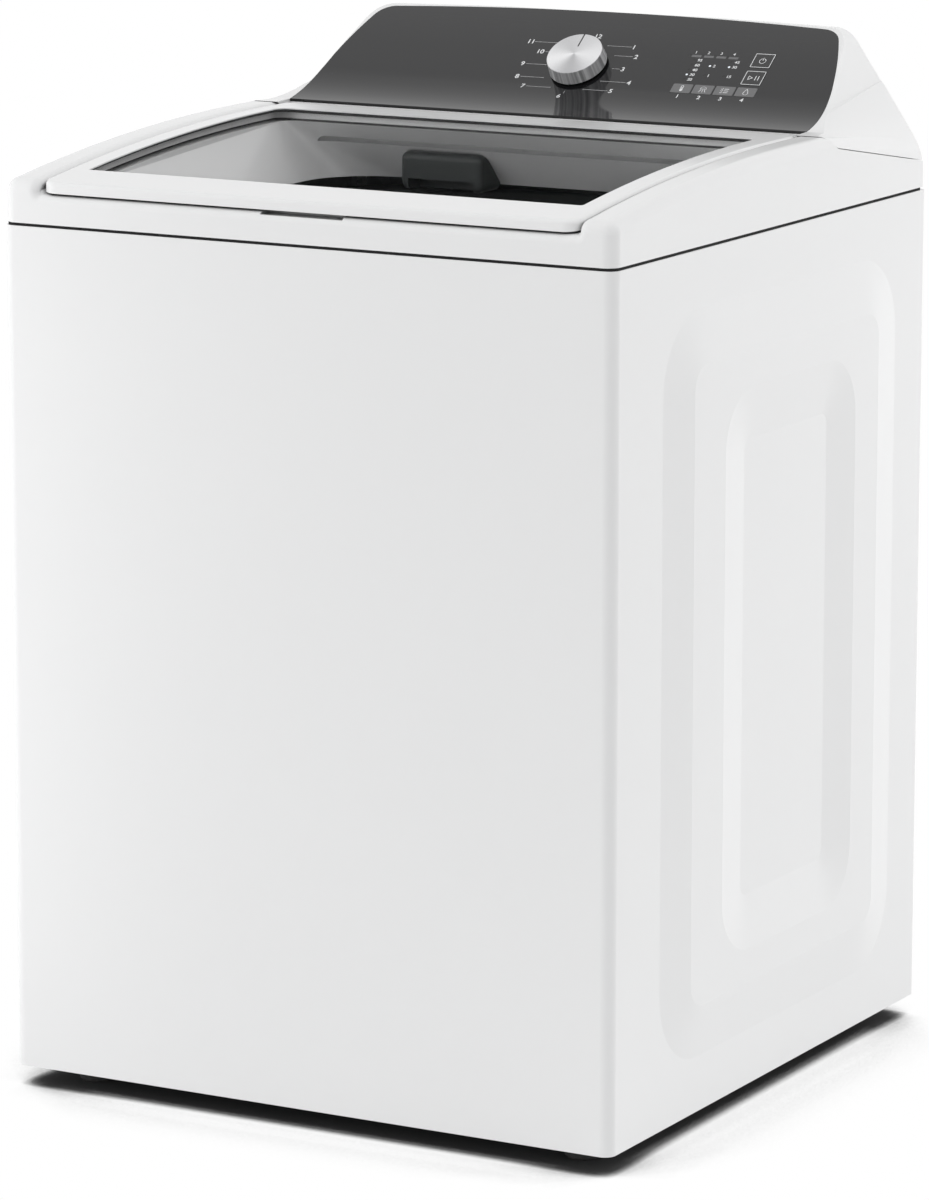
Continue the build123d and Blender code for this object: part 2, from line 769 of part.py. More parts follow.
bracket = block((pocket_half_width + top_wall, pin_x[1] + 3), (hinge_y - 10, hinge_y + 7),
                (hinge_z - 24, hinge_z + 5.5))
bracket -= rod_x((pocket_half_width, pin_x[1] + 1), hinge_y, hinge_z,
                 hinge_pin_radius + running_gap)
save("hinge_brackets", both_sides(bracket) - top_panel)

strike_z = (strike_top - lid_lift - 15, strike_top + 0.3)
strike = block((lock_x - strike_sheet / 2, lock_x + strike_sheet / 2),
               (strike_y - strike_width / 2, strike_y + strike_width / 2), strike_z)
bolt_z = strike_z[0] + 6
strike -= rod_x((lock_x - 20, lock_x + 20), strike_y, bolt_z, bolt_radius + 0.6)
strike -= lid_frame
save("lid_strike", strike)

lock_top = arch(lock_y - lock_size[1] / 2, pocket_drop + top_wall) - 0.2
lock = block((lock_x - lock_size[0] / 2, lock_x + lock_size[0] / 2),
             (lock_y - lock_size[1] / 2, lock_y + lock_size[1] / 2),
             (lock_top - lock_size[2], lock_top))
lock -= block((lock_x - strike_sheet / 2 - 2, lock_x + strike_sheet / 2 + 2),
              (strike_y - strike_width / 2 - 5, strike_y + strike_width / 2 + 2),
              (lock_top - lock_size[2] + 3, lock_top + 1))
bolt_x = lock_x + strike_sheet / 2 + 2.3
lock -= rod_x((lock_x - 20, lock_x + lock_size[0] / 2 - 3), strike_y, bolt_z,
              bolt_radius + running_gap)
save("lid_lock_housing", lock)
save("lid_lock_bolt", rod_x((bolt_x, bolt_x + 18), strike_y, bolt_z, bolt_radius))


# ---------------------------------------------------------------- console
slope = radians(facia_angle)
facia_plane = Plane(origin=(0, facia_y, facia_z), x_dir=(1, 0, 0), z_dir=(0, -sin(slope), cos(slope)))
bend_y = facia_y + facia_bend_start * cos(slope) - facia_bend_radius * sin(slope)
bend_z = facia_z + facia_bend_start * sin(slope) + facia_bend_radius * cos(slope)


def bend_point(angle, depth):
    """A point on the facia's bend, or on a parallel bend below it, as y and z."""
    reach = facia_bend_radius + depth
    return (bend_y + reach * sin(angle), bend_z - reach * cos(angle))


def slope_point(v, depth):
    """A point on the facia's straight part, or below it, as y and z."""
    return (facia_y + v * cos(slope) + depth * sin(slope),
            facia_z + v * sin(slope) - depth * cos(slope))


def facia_edges(y_start, v_end, depth):
    """The facia's line from the front wall upwards: a bend and then a straight slope."""
    low = asin((y_start - bend_y) / (facia_bend_radius + depth))
    arc = ThreePointArc(bend_point(low, depth), bend_point((low + slope) / 2, depth),
                        bend_point(slope, depth))
    return [arc, Line(bend_point(slope, depth), slope_point(v_end, depth))]


def console_side(inset):
    """The console from the side."""
    lean = radians(console_back_lean)
    back_y = console_back_y - inset
    toe_y = front_section_y + inset
    low_y = console_rear - inset
    top = slope_point(0, inset)
    run = (back_y - top[0]) * tan(slope) - (console_back_z - top[1])
    ridge_shift = run / (tan(slope) + tan(lean))
    ridge_y = back_y - ridge_shift
    ridge = (ridge_y, console_back_z + ridge_shift * tan(lean))
    ridge_v = (ridge_y - facia_y - inset * sin(slope)) / cos(slope)
    edges = facia_edges(console_front - 1, ridge_v, inset)
    toe_z = shoulder_front - inset
    edges.append(Polyline(ridge, (back_y, console_back_z), (low_y, console_low), (low_y, console_low - 60),
                          (toe_y, console_low - 60), (toe_y, toe_z),
                          bend_point(asin((console_front - 1 - bend_y) / (facia_bend_radius + inset)),
                                     inset)))
    face = make_face(edges)
    return fillet(face.vertices().sort_by_distance(Vector(*ridge, 0))[:1], console_round - inset)


def console_section(inset, y, shoulder, shoulder_radius, neck, neck_radius):
    """The console's outline across the machine at one place in y."""
    crest = (crest_half - inset, crest_z - inset)
    points = [(top_half - inset, console_low - 60), (top_half - inset, shoulder - inset),
              (neck_half - inset, neck - inset), crest]
    radii = [shoulder_radius, neck_radius]
    crown = (0, crest_z + crest_half ** 2 / (2 * top_crown_radius) - inset)
    right = FilletPolyline(*points, crown, radius=[*radii, console_corner_round - inset])
    left = mirror(right, about=Plane.YZ)
    base = Line((-top_half + inset, console_low - 60), (top_half - inset, console_low - 60))
    return Plane(origin=(0, y, 0), x_dir=(1, 0, 0), z_dir=(0, -1, 0)) * make_face([right, left, base])


def console_block(inset):
    """The console's outside, moved inwards by a wall's thickness."""
    front = console_section(inset, front_section_y - 1, shoulder_front, top_round - inset,
                            neck_front, 8 + inset)
    back = console_section(inset, rear_section_y, shoulder_rear, flare_round - inset,
                           neck_rear, flare_round - inset)
    bulk = loft([front, back], ruled=True)
    return bulk & across(console_side(inset), -half_width, half_width)


def facia_outline(grow):
    """The facia's outline, widened all round, drawn on the slope."""
    half = facia_half + grow
    low = facia_side_start - 15
    high = facia_high + grow
    side_radius = facia_side_radius + grow
    fall = high - facia_side_start
    top_x = half - side_radius + sqrt(side_radius ** 2 - fall ** 2)
    mid_x = half - side_radius + sqrt(side_radius ** 2 - (fall / 2) ** 2)
    sides = []
    for sign in (-1, 1):
        sides.append(Line((sign * half, low), (sign * half, facia_side_start)))
        sides.append(ThreePointArc((sign * half, facia_side_start),
                                   (sign * mid_x, facia_side_start + fall / 2),
                                   (sign * top_x, high)))
    sides.append(Line((-top_x, high), (top_x, high)))
    sides.append(Line((-half, low), (half, low)))
    face = make_face(sides)
    crown = Pos(0, high - facia_crown_radius) * Circle(facia_crown_radius)
    face = face & crown
    corners = face.vertices().sort_by(Axis.Y)[-2:]
    return fillet(corners, facia_corner + grow)


def facia_prism(grow):
    """The facia's outline made solid through the slope."""
    return extrude(facia_plane * facia_outline(grow), amount=40, both=True)


def slope_band(upper, lower, y_start):
    """A layer between two depths below the slope's surface."""
    first = facia_edges(y_start, facia_high + 30, upper)
    second = facia_edges(y_start, facia_high + 30, lower)
    ends = [Line(first[0] @ 0, second[0] @ 0), Line(first[1] @ 1, second[1] @ 1)]
    return across(make_face([*first, *second, *ends]), -half_width, half_width)


def on_facia(x, v, w=0.0):
    """A place on the facia, w above its surface."""
    return facia_plane * Pos(x, v, w)


def facia_post(x, v, low, high, radius):
    """A cylinder square to the facia between two heights above its surface."""
    return on_facia(x, v, (low + high) / 2) * Cylinder(radius, high - low)


def facia_block(x, v, size, low, high, corner=0.0):
    """A block square to the facia, with rounded corners if asked."""
    outline = RectangleRounded(*size, corner) if corner else Rectangle(*size)
    return extrude(on_facia(x, v, low) * outline, amount=high - low)


back_lean = atan2(console_rear - console_back_y, console_back_z - console_low)
cover_plane = Plane(origin=(0, (console_rear + console_back_y) / 2, (console_low + console_back_z) / 2),
                    x_dir=(-1, 0, 0), z_dir=(0, cos(back_lean), sin(back_lean)))
cover_screws = [cover_plane * Pos(x, -cover_height / 2 + 6, 0)
                for x in (-cover_half + 22, cover_half - 22)]

housing = console_block(0)
void = console_block(console_wall)
void -= block((-pocket_half_width - 0.5 - console_wall, pocket_half_width + 0.5 + console_wall),
              (0, console_front + console_wall), (console_low - 60, crown_top + 40))
housing -= void
rim = facia_prism(6) & slope_band(facia_thickness + seat_gap, facia_thickness + 2.6, console_front)
rim &= console_block(1)
housing += rim
housing -= facia_prism(seat_gap + 0.2) & slope_band(-10, facia_thickness + seat_gap, console_front - 2)
housing -= facia_prism(-facia_ledge) & slope_band(-10, facia_thickness + 12, console_front + 6)
housing -= block((-pocket_half_width - 0.5, pocket_half_width + 0.5), (0, console_front),
                 (console_low - 60, crown_top + 40))
under = block((-half_width - 1, half_width + 1), (0, rear_y + 40), (console_low - 80, crown_top + 60))
under -= across(above_step(seam_gap), -half_width - 2, half_width + 2)
housing -= under
housing -= both_sides(pin_hole)
for place in cover_screws:
    housing -= place * Cylinder(screw_shank_radius + seat_gap, 20)
housing -= extrude(cover_plane.offset(-20) * Rectangle(*cover_window), amount=30)
save("console_housing", housing)

small_keys = [first_small_key_x + step * key_pitch for step in range(4)]
light_places = [(light_columns[0], v) for v in light_rows]
light_places += [(light_columns[1], light_rows[1]), (light_columns[1], light_rows[3])]
light_places += [(light_columns[2], light_rows[step]) for step in (0, 1, 3)]
key_places = {"power_key": (square_key_x, power_key_v, square_key),
              "start_key": (square_key_x, start_key_v, square_key)}
for step, x in enumerate(small_keys):
    key_places[f"option_key_{step + 1}"] = (x, small_key_v, small_key)
board_posts = [(board_left + 5, board_low + 4), (board_left + 5, board_high - 4),
               (board_right - 4, board_low + 4), (board_right - 4, board_high - 4)]

facia = facia_prism(0) & slope_band(0, facia_thickness, console_front + 0.2)
facia -= block((-half_width, half_width), (0, console_front + 0.2), (0, crown_top + 200))
for x, v in board_posts:
    facia += facia_post(x, v, -board_depth, -facia_thickness + 0.5, 3)
for x, v, size in key_places.values():
    hole = [length + 2 * slide_gap for length in size]
    facia -= facia_block(x, v, hole, -facia_thickness - 2, 3, key_corner + slide_gap)
for x, v in light_places:
    facia -= facia_post(x, v, -facia_thickness - 1, 1, light_radius + seat_gap)
bar = [length + 2 * seat_gap for length in light_bar]
facia -= facia_block(*light_bar_at, bar, -facia_thickness - 1, 1)
facia -= facia_post(dial_x, dial_v, -facia_thickness - 1, 1, selector_neck_radius + seat_gap)
save("console_facia", facia)

lights = [facia_post(x, v, -board_depth, -0.1, light_radius) for x, v in light_places]
lights.append(facia_block(*light_bar_at, light_bar, -board_depth, -0.1))
save("indicator_lights", Compound(children=lights))

board_size = (board_right - board_left, board_high - board_low)
board_middle = ((board_right + board_left) / 2, (board_high + board_low) / 2)
save("control_board", facia_block(*board_middle, board_size, -board_depth - board_sheet, -board_depth))

selector = facia_block(dial_x, dial_v, (selector_size, selector_size), -board_depth,
                       -facia_thickness - 0.5, 2)
selector += facia_post(dial_x, dial_v, -board_depth + 1, -0.6, selector_neck_radius)
selector -= facia_post(dial_x, dial_v, -board_depth + 2, 1, knob_shaft_radius + running_gap)
save("selector_switch", selector)

for name, (x, v, size) in key_places.items():
    flange = [size[0] + 0.9, size[1] + 2.4]
    under = -facia_thickness - slide_gap
    key = facia_block(x, v, size, under - 0.5, key_stand, key_corner)
    key += facia_block(x, v, flange, under - key_flange, under)
    key += facia_post(x, v, -board_depth + key_travel + slide_gap, under, key_stem_radius)
    save(name, key)


def dial_turned(points):
    """A solid turned about the knob's axis from radii and heights above the facia."""
    section = Plane.XZ * make_face(Polyline(*points, close=True))
    return on_facia(dial_x, dial_v) * revolve(section, Axis.Z)


knob_top = knob_height
cap = dial_turned([(0, knob_top), (knob_face_radius - knob_edge, knob_top),
                   (knob_face_radius, knob_top - knob_edge), (knob_base_radius, knob_lift),
                   (knob_base_radius - knob_wall, knob_lift),
                   (knob_face_radius - knob_wall, knob_top - knob_wall), (0, knob_top - knob_wall)])
groove = facia_block(dial_x, dial_v + knob_face_radius - 1 - pointer_length / 2,
                     (pointer_width, pointer_length), knob_top - pointer_depth, knob_top + 1)
save("knob_cap", cap - groove)
core_radius = knob_face_radius - knob_wall - seat_gap
core = dial_turned([(0, knob_top - knob_wall - seat_gap), (core_radius, knob_top - knob_wall - seat_gap),
                    (core_radius, knob_lift - 1), (core_radius - 3, knob_lift - 1),
                    (core_radius - 3, knob_top - 6), (knob_collar_radius, knob_top - 6),
                    (knob_collar_radius, slide_gap), (knob_shaft_radius, slide_gap),
                    (knob_shaft_radius, -board_depth + 2.5), (0, -board_depth + 2.5)])
save("knob_core", core)

cover = extrude(cover_plane * RectangleRounded(2 * cover_half, cover_height, cover_corner),
                amount=cover_sheet)
bulge_plane = Plane(cover_plane * Pos(0, 4, cover_sheet))
bulge = (2 * cover_half - 2, bulge_height)
cover += raised_field(bulge_plane, bulge, cover_corner, bulge_slope, bulge_depth, 8)
cover -= raised_field(bulge_plane.offset(-cover_sheet), [length - 4 for length in bulge],
                      cover_corner - 2, bulge_slope, bulge_depth, 6)
for place in cover_screws:
    cover -= place * Cylinder(screw_shank_radius + seat_gap, 40)
save("console_rear_cover", cover)

nozzle = block((nozzle_x - nozzle_width / 2, nozzle_x + nozzle_width / 2),
               (nozzle_front, nozzle_back), (nozzle_low, nozzle_low + nozzle_height))
front_edges = edges_at(nozzle, lambda x, y, z: y < nozzle_front + 0.1)
side_edges = edges_at(nozzle, lambda x, y, z: abs(x - nozzle_x) > nozzle_width / 2 - 0.1
                      and nozzle_front + 1 < y < nozzle_back - 1)
nozzle = fillet([*front_edges, *side_edges], nozzle_round)
lean_line = [(well_back - seat_gap, crown_top - pocket_drop), (lip_back - seat_gap, lip_z),
             (lip_back - seat_gap, nozzle_low - 5), (rear_y, nozzle_low - 5),
             (rear_y, crown_top - pocket_drop)]
nozzle -= across(make_face(Polyline(*lean_line, close=True)), -half_width, half_width)
nozzle -= block((nozzle_x - spout_width / 2, nozzle_x + spout_width / 2),
                (nozzle_front - 1, nozzle_front + 26), (nozzle_low - 1, nozzle_low + spout_height))
pipe_line = [(nozzle_x, nozzle_front + 20, pipe_z), (nozzle_x, outlet_y, pipe_z),
             (nozzle_x, outlet_y, valve_z + valve_size[2] / 2)]
pipe_path = FilletPolyline(*pipe_line, radius=pipe_bend)
pipe_start = Plane(origin=pipe_path @ 0, z_dir=pipe_path % 0)
nozzle += sweep(pipe_start * Circle(pipe_radius), path=pipe_path)
nozzle -= sweep(pipe_start * Circle(pipe_bore), path=pipe_path)
save("inlet_nozzle", nozzle)

pocket_y = rear_face_y - pocket_depth
valve = block((nozzle_x - valve_size[0] / 2, nozzle_x + valve_size[0] / 2),
              (pocket_y - valve_size[1], pocket_y - seat_gap),
              (valve_z - valve_size[2] / 2, valve_z + valve_size[2] / 2))
for x in port_places:
    valve += rod_y(x, (pocket_y - 8, port_end), valve_z, port_radius)
    valve -= rod_y(x, (pocket_y - 20, port_end + 1), valve_z, port_bore)
save("water_inlet_valve", valve)

screws = []
for x, z in screw_places:
    screw = rod_y(x, (rear_face_y, rear_y), z, screw_head_radius)
    screws.append(screw + rod_y(x, (rear_face_y - screw_length, rear_face_y), z, screw_shank_radius))
for place in cover_screws:
    head = place * Pos(0, 0, cover_sheet + 1.1) * Cylinder(screw_head_radius, 2.2)
    screws.append(head + place * Pos(0, 0, cover_sheet - 3) * Cylinder(screw_shank_radius, 6))
save("cabinet_screws", Compound(children=screws))


# ---------------------------------------------------------------- tub and suspension
tub_ring_top = tub_top + tub_ring_height
outer_tub = turned([(tub_hub_radius, tub_floor), (tub_radius - 14, tub_floor),
                    (tub_radius, tub_floor + 14), (tub_radius, tub_top),
                    (tub_radius - tub_wall, tub_top), (tub_radius - tub_wall, tub_floor + 16),
                    (tub_radius - 16, tub_floor + tub_floor_wall),
                    (tub_hub_radius, tub_floor + tub_floor_wall)], 0, tub_y)
lug_reach = rod_reach * sqrt(2)
for turn in (45, 135, 225, 315):
    arm = block((tub_radius - 1, lug_reach), (-lug_width / 2, lug_width / 2),
                (lug_z, lug_z + lug_height))
    web = block((tub_radius - 1, lug_reach - lug_boss_radius - 12), (-3, 3),
                (lug_z + lug_height, lug_z + 60))
    ear = arm + post(lug_reach, 0, (lug_z, lug_z + lug_height), lug_boss_radius) + web
    ear -= post(lug_reach, 0, (lug_z - 1, lug_z + lug_height + 1), rod_radius + slide_gap)
    ear -= post(0, 0, (lug_z - 2, lug_z + 70), tub_radius - 1)
    outer_tub += Pos(0, tub_y, 0) * Rot(0, 0, turn) * ear
sump_bore = post(pump_x, pump_y, (tub_floor - 1, tub_floor + tub_floor_wall + 1), 14)
save("outer_tub", outer_tub - sump_bore)

tub_ring = turned([(tub_ring_inner, tub_ring_top - 12), (tub_ring_inner, tub_ring_top - 3),
                   (tub_ring_inner + 3, tub_ring_top), (tub_ring_radius - 3, tub_ring_top),
                   (tub_ring_radius, tub_ring_top - 3), (tub_ring_radius, tub_top - 12),
                   (tub_radius + seat_gap, tub_top - 12), (tub_radius + seat_gap, tub_top),
                   (tub_radius - tub_wall, tub_top), (tub_radius - tub_wall, tub_ring_top - 5),
                   (tub_ring_inner + 4, tub_ring_top - 5), (tub_ring_inner + 4, tub_ring_top - 12)],
                  0, tub_y)
save("tub_ring", tub_ring)

brackets, rods, springs = [], [], []
for x, y in rod_places:
    side_x = (half_width - sheet) * (1 if x > 0 else -1)
    side_y = (front_y + sheet) if y < 0 else rear_sheet_y - sheet
    reach_x = -bracket_reach if x > 0 else bracket_reach
    reach_y = bracket_reach if y < 0 else -bracket_reach
    corner = [(side_x, side_y), (side_x + reach_x, side_y), (side_x, side_y + reach_y)]
    plate = upwards(make_face(Polyline(*corner, close=True)), bracket_z - bracket_sheet, bracket_z)
    wall_x = sorted((side_x, side_x + (bracket_sheet if x < 0 else -bracket_sheet)))
    wall_y = sorted((side_y, side_y + reach_y * 0.9))
    plate += block(wall_x, wall_y, (bracket_z - bracket_sheet, bracket_z + 34))
    plate -= post(x, y, (bracket_z - 10, bracket_z + 10), rod_radius + seat_gap)
    brackets.append(plate & cabinet_block(sheet + seat_gap, bracket_z - 10, bracket_z + 40))
    rod = post(x, y, (rod_seat_z, bracket_z + 14), rod_radius)
    rod += turned([(0, bracket_z), (rod_head_radius - 3, bracket_z), (rod_head_radius, bracket_z + 4),
                   (rod_head_radius, bracket_z + 9), (0, bracket_z + 9)], x, y)
    rod += turned([(0, rod_seat_z - 4), (rod_seat_radius - 6, rod_seat_z - 4),
                   (rod_seat_radius, rod_seat_z), (rod_seat_radius, rod_seat_z + 4),
                   (0, rod_seat_z + 4)], x, y)
    rods.append(rod)
    low = rod_seat_z + 4
    span = lug_z - low - 2 * spring_wire - 0.4
    path = Helix(pitch=span / spring_turns, height=span, radius=spring_radius)
    wire = sweep(Plane(origin=path @ 0, z_dir=path % 0) * Circle(spring_wire), path=path)
    springs.append(Pos(x, y, low + spring_wire + 0.2) * wire)
save("hanger_brackets", Compound(children=brackets))
save("suspension_rods", Compound(children=rods))
save("suspension_springs", Compound(children=springs))

# ---------------------------------------------------------------- basket
hole_pitch = (basket_top - basket_floor - 130) / (hole_rows - 1)
basket = turned([(spin_tube_radius - 8, basket_floor), (basket_radius - basket_round, basket_floor),
                 (basket_radius - 7, basket_floor + 7), (basket_radius, basket_floor + basket_round),
                 (basket_radius, basket_top), (basket_radius - basket_sheet, basket_top),
                 (basket_radius - basket_sheet, basket_floor + basket_round + 0.6),
                 (basket_radius - 8.1, basket_floor + 8.1),
                 (basket_radius - basket_round - 0.6, basket_floor + basket_sheet),
                 (spin_tube_radius - 8, basket_floor + basket_sheet)], 0, tub_y)
for row in range(hole_rows):
    z = basket_floor + 70 + row * hole_pitch
    for column in range(hole_columns // 2):
        turn = (column + 0.5 * (row % 2)) * 360 / hole_columns
        drill = Pos(0, tub_y, z) * Rot(0, 0, turn)
        basket -= drill * Rot(0, 90, 0) * Cylinder(hole_radius, 2 * basket_radius + 10)
save("wash_basket", basket)

ring_middle = (ring_inner + ring_outer) / 2
ring_profile = Pos(ring_middle, basket_top + ring_height / 2)
ring_profile = ring_profile * RectangleRounded(ring_outer - ring_inner, ring_height, ring_round)
balance_ring = Pos(0, tub_y, 0) * revolve(Plane.XZ * ring_profile, Axis.Z)
save("balance_ring", balance_ring)

shaft_bore = agitator_shaft_radius + running_gap
basket_hub = turned([(shaft_bore, spin_tube_low), (spin_tube_radius, spin_tube_low),
                     (spin_tube_radius, basket_floor - hub_flange_height),
                     (hub_flange_radius, basket_floor - hub_flange_height),
                     (hub_flange_radius, basket_floor), (shaft_bore, basket_floor)], 0, tub_y)
save("basket_hub", basket_hub)

# ---------------------------------------------------------------- agitator
plate_top = plate_low + plate_rise
hub = agitator_shaft_radius + seat_gap
wash_plate = turned([(hub, plate_low), (hub + 9, plate_low), (hub + 9, plate_top - 5),
                     (post_low_radius - 2, plate_top - 5), (post_low_radius + 28, plate_top - 11),
                     (plate_radius - 14, plate_low + plate_rim - 1), (plate_radius - 5, plate_low + 4),
                     (plate_radius - 5, plate_low), (plate_radius, plate_low),
                     (plate_radius, plate_low + plate_rim),
                     (plate_radius - 12, plate_low + plate_rim + 3),
                     (post_low_radius + 30, plate_top - 6), (post_low_radius, plate_top),
                     (hub, plate_top)], 0, tub_y)
vane_line = [(post_low_radius - 8, plate_top - 4), (post_low_radius + 30, plate_top - 8),
             (plate_radius - 16, plate_low + 8),
             (plate_radius - 16, plate_low + 18), (plate_radius - 40, plate_low + 30),
             (post_low_radius - 8, plate_top + 8)]
vane = extrude(Plane.XZ * make_face(Polyline(*vane_line, close=True)), amount=4, both=True)
vane -= post(0, 0, (0, 900), post_low_radius + seat_gap)
for step in range(vane_count):
    wash_plate += Pos(0, tub_y, 0) * Rot(0, 0, (step + 0.5) * 360 / vane_count) * vane
save("wash_plate", wash_plate)

post_top = plate_top + post_height
column = turned([(agitator_shaft_radius + seat_gap, plate_top), (post_low_radius, plate_top),
                 (post_high_radius + 8, plate_top + 90), (post_high_radius, post_top - 12),
                 (post_high_radius - 10, post_top), (0, post_top), (0, post_top - post_wall),
                 (post_high_radius - 12, post_top - post_wall),
                 (post_high_radius - post_wall, post_top - 14),
                 (post_high_radius + 8 - post_wall, plate_top + 90),
                 (post_low_radius - post_wall - 1, plate_top + 8),
                 (agitator_shaft_radius + seat_gap, plate_top + 8)], 0, tub_y)
fin_line = [(post_high_radius - 1, plate_top + 40), (fin_reach, plate_top + 30),
            (fin_reach - 6, plate_top + 80), (fin_top_reach, plate_top + 240),
            (post_high_radius - 1, plate_top + 256)]
fin = extrude(Plane.XZ * make_face(Polyline(*fin_line, close=True)), amount=fin_thickness / 2,
              both=True)
bulk = turned([(0, plate_top), (post_low_radius - 1, plate_top), (post_high_radius + 7, plate_top + 90),
               (post_high_radius - 1, post_top - 12), (0, post_top - 12)])
for step in range(fin_count):
    column += Pos(0, tub_y, 0) * (Rot(0, 0, step * 360 / fin_count) * fin - bulk)
save("agitator_post", column)

# ---------------------------------------------------------------- drive
gears = (gear_low, gear_low + gear_width)
planet_reach = gear_module * (sun_teeth + planet_teeth) / 2
carrier_low = gears[1] + 1


def gear_outline(teeth, share, tip, root):
    """A toothed outline with straight flanks, one tooth pointing along +X."""
    pitch_radius = gear_module * teeth / 2
    points = []
    for tooth in range(teeth):
        middle = tooth * 2 * pi / teeth
        for radius, side in ((root, -1), (tip, -1), (tip, 1), (root, 1)):
            half = share * pi / teeth - (radius - pitch_radius) * tan(radians(20)) / pitch_radius
            angle = middle + side * half
            points.append((radius * cos(angle), radius * sin(angle)))
    return make_face(Polyline(*points, close=True))


def outer_gear(teeth):
    """A spur gear's outline."""
    pitch_radius = gear_module * teeth / 2
    return gear_outline(teeth, tooth_share, pitch_radius + gear_module,
                        pitch_radius - 1.25 * gear_module)


def at_tub(x, y, turn=0.0):
    """A place measured from the tub's axis."""
    return Pos(x, tub_y + y, 0) * Rot(0, 0, turn)


ring_pitch_radius = gear_module * ring_teeth / 2
ring_void = gear_outline(ring_teeth, 1 - tooth_share, ring_pitch_radius + 1.25 * gear_module,
                         ring_pitch_radius - gear_module)
case = turned([(input_shaft_radius + running_gap, case_low), (case_radius, case_low),
               (case_radius, tub_floor - case_flange_height),
               (case_flange_radius, tub_floor - case_flange_height), (case_flange_radius, tub_floor),
               (bearing_outer, tub_floor), (bearing_outer, case_low + case_floor),
               (input_shaft_radius + running_gap, case_low + case_floor)])
ring_gear = post(0, 0, gears, bearing_outer + 0.5) - upwards(ring_void, gears[0] - 1, gears[1] + 1)
save("gearcase_housing", at_tub(0, 0) * (case + ring_gear))

bearings = []
for low in (tub_floor - 4 - bearing_height, spin_tube_low + 4):
    bearings.append(post(0, tub_y, (low, low + bearing_height), bearing_outer - seat_gap,
                         spin_tube_radius + running_gap))
save("spin_bearings", Compound(children=bearings))
seal = post(0, tub_y, (tub_floor + 0.2, tub_floor + tub_floor_wall + 3), tub_hub_radius - seat_gap,
            spin_tube_radius + slide_gap)
save("tub_seal", seal)

shaft = post(0, 0, (carrier_low, plate_top + 60), agitator_shaft_radius)
shaft += post(0, 0, (carrier_low, carrier_low + carrier_height), planet_reach + planet_pin_radius + 4)
for step in range(planet_count):
    pin = Rot(0, 0, step * 360 / planet_count) * post(planet_reach, 0, (gears[0], carrier_low + 1),
                                                      planet_pin_radius)
    shaft += pin
save("agitator_shaft", at_tub(0, 0) * shaft)

for step in range(planet_count):
    direction = step * 360 / planet_count
    sun_pitch = 360 / sun_teeth
    ahead = (-direction % sun_pitch) / sun_pitch
    gap_direction = direction + 180 - ahead * 360 / planet_teeth
    turn = gap_direction + 180 / planet_teeth
    planet = upwards(outer_gear(planet_teeth), gears[0] + 0.5, gears[1] - 0.5)
    planet -= post(0, 0, (gears[0], gears[1]), planet_pin_radius + running_gap)
    place = at_tub(0, 0, direction) * Pos(planet_reach, 0, 0) * Rot(0, 0, turn - direction)
    save(f"planet_gear_{step + 1}", place * planet)

belt_high = belt_low + belt_width
rim = [(drive_pulley_radius - 6, belt_low - pulley_flange),
       (drive_pulley_radius + 4, belt_low - pulley_flange), (drive_pulley_radius + 4, belt_low),
       (drive_pulley_radius, belt_low), (drive_pulley_radius, belt_high),
       (drive_pulley_radius + 4, belt_high), (drive_pulley_radius + 4, belt_high + pulley_flange),
       (drive_pulley_radius - 6, belt_high + pulley_flange)]
pulley = turned(rim)
pulley += post(0, 0, (belt_low + 4, belt_low + 10), drive_pulley_radius - 5)
pulley += post(0, 0, (belt_low - pulley_flange, belt_high + pulley_flange + 6), 2 * input_shaft_radius)
for step in range(6):
    pulley -= Rot(0, 0, step * 60) * post(drive_pulley_radius * 0.62, 0, (0, belt_high), 12)
pulley += post(0, 0, (belt_low, gears[0] + 1), input_shaft_radius)
pulley += upwards(outer_gear(sun_teeth), *gears)
save("drive_pulley", at_tub(0, 0) * pulley)

motor_x = motor_distance * cos(radians(motor_angle))
motor_y = motor_distance * sin(radians(motor_angle))
motor_z = (case_low, case_low + motor_length)
at_motor = at_tub(motor_x, motor_y, motor_angle)
motor = turned([(motor_shaft_radius + running_gap, motor_z[0]), (motor_radius - 6, motor_z[0]),
                (motor_radius, motor_z[0] + 6), (motor_radius, motor_z[1] - 4),
                (motor_radius - 4, motor_z[1]), (0, motor_z[1]), (0, motor_z[1] - motor_wall),
                (rotor_radius + 1, motor_z[1] - motor_wall), (rotor_radius + 1, motor_z[0] + motor_wall),
                (motor_shaft_radius + running_gap, motor_z[0] + motor_wall)])
for step in range(12):
    motor -= Rot(0, 0, step * 30) * block((motor_radius - 4, motor_radius + 1), (-3, 3),
                                          (motor_z[0] + 18, motor_z[1] - 18))
save("motor", at_motor * motor)

rotor_low = motor_z[0] + motor_wall + 4
rotor = post(0, 0, (belt_low - pulley_flange, rotor_low + 1), motor_shaft_radius)
rotor += post(0, 0, (rotor_low, rotor_low + rotor_length), rotor_radius)
rotor += post(0, 0, (belt_low, belt_high), motor_pulley_radius)
for low in (belt_low - pulley_flange, belt_high):
    rotor += post(0, 0, (low, low + pulley_flange), motor_pulley_radius + 4)
save("motor_rotor", at_motor * rotor)

plate = post(0, 0, (motor_z[1], motor_z[1] + drive_plate_sheet), motor_radius + 6)
for x, y in ((motor_radius - 8, 0), (0, motor_radius - 8), (0, 8 - motor_radius)):
    plate += post(x, y, (motor_z[1], tub_floor), 7)
save("motor_bracket", at_motor * plate)


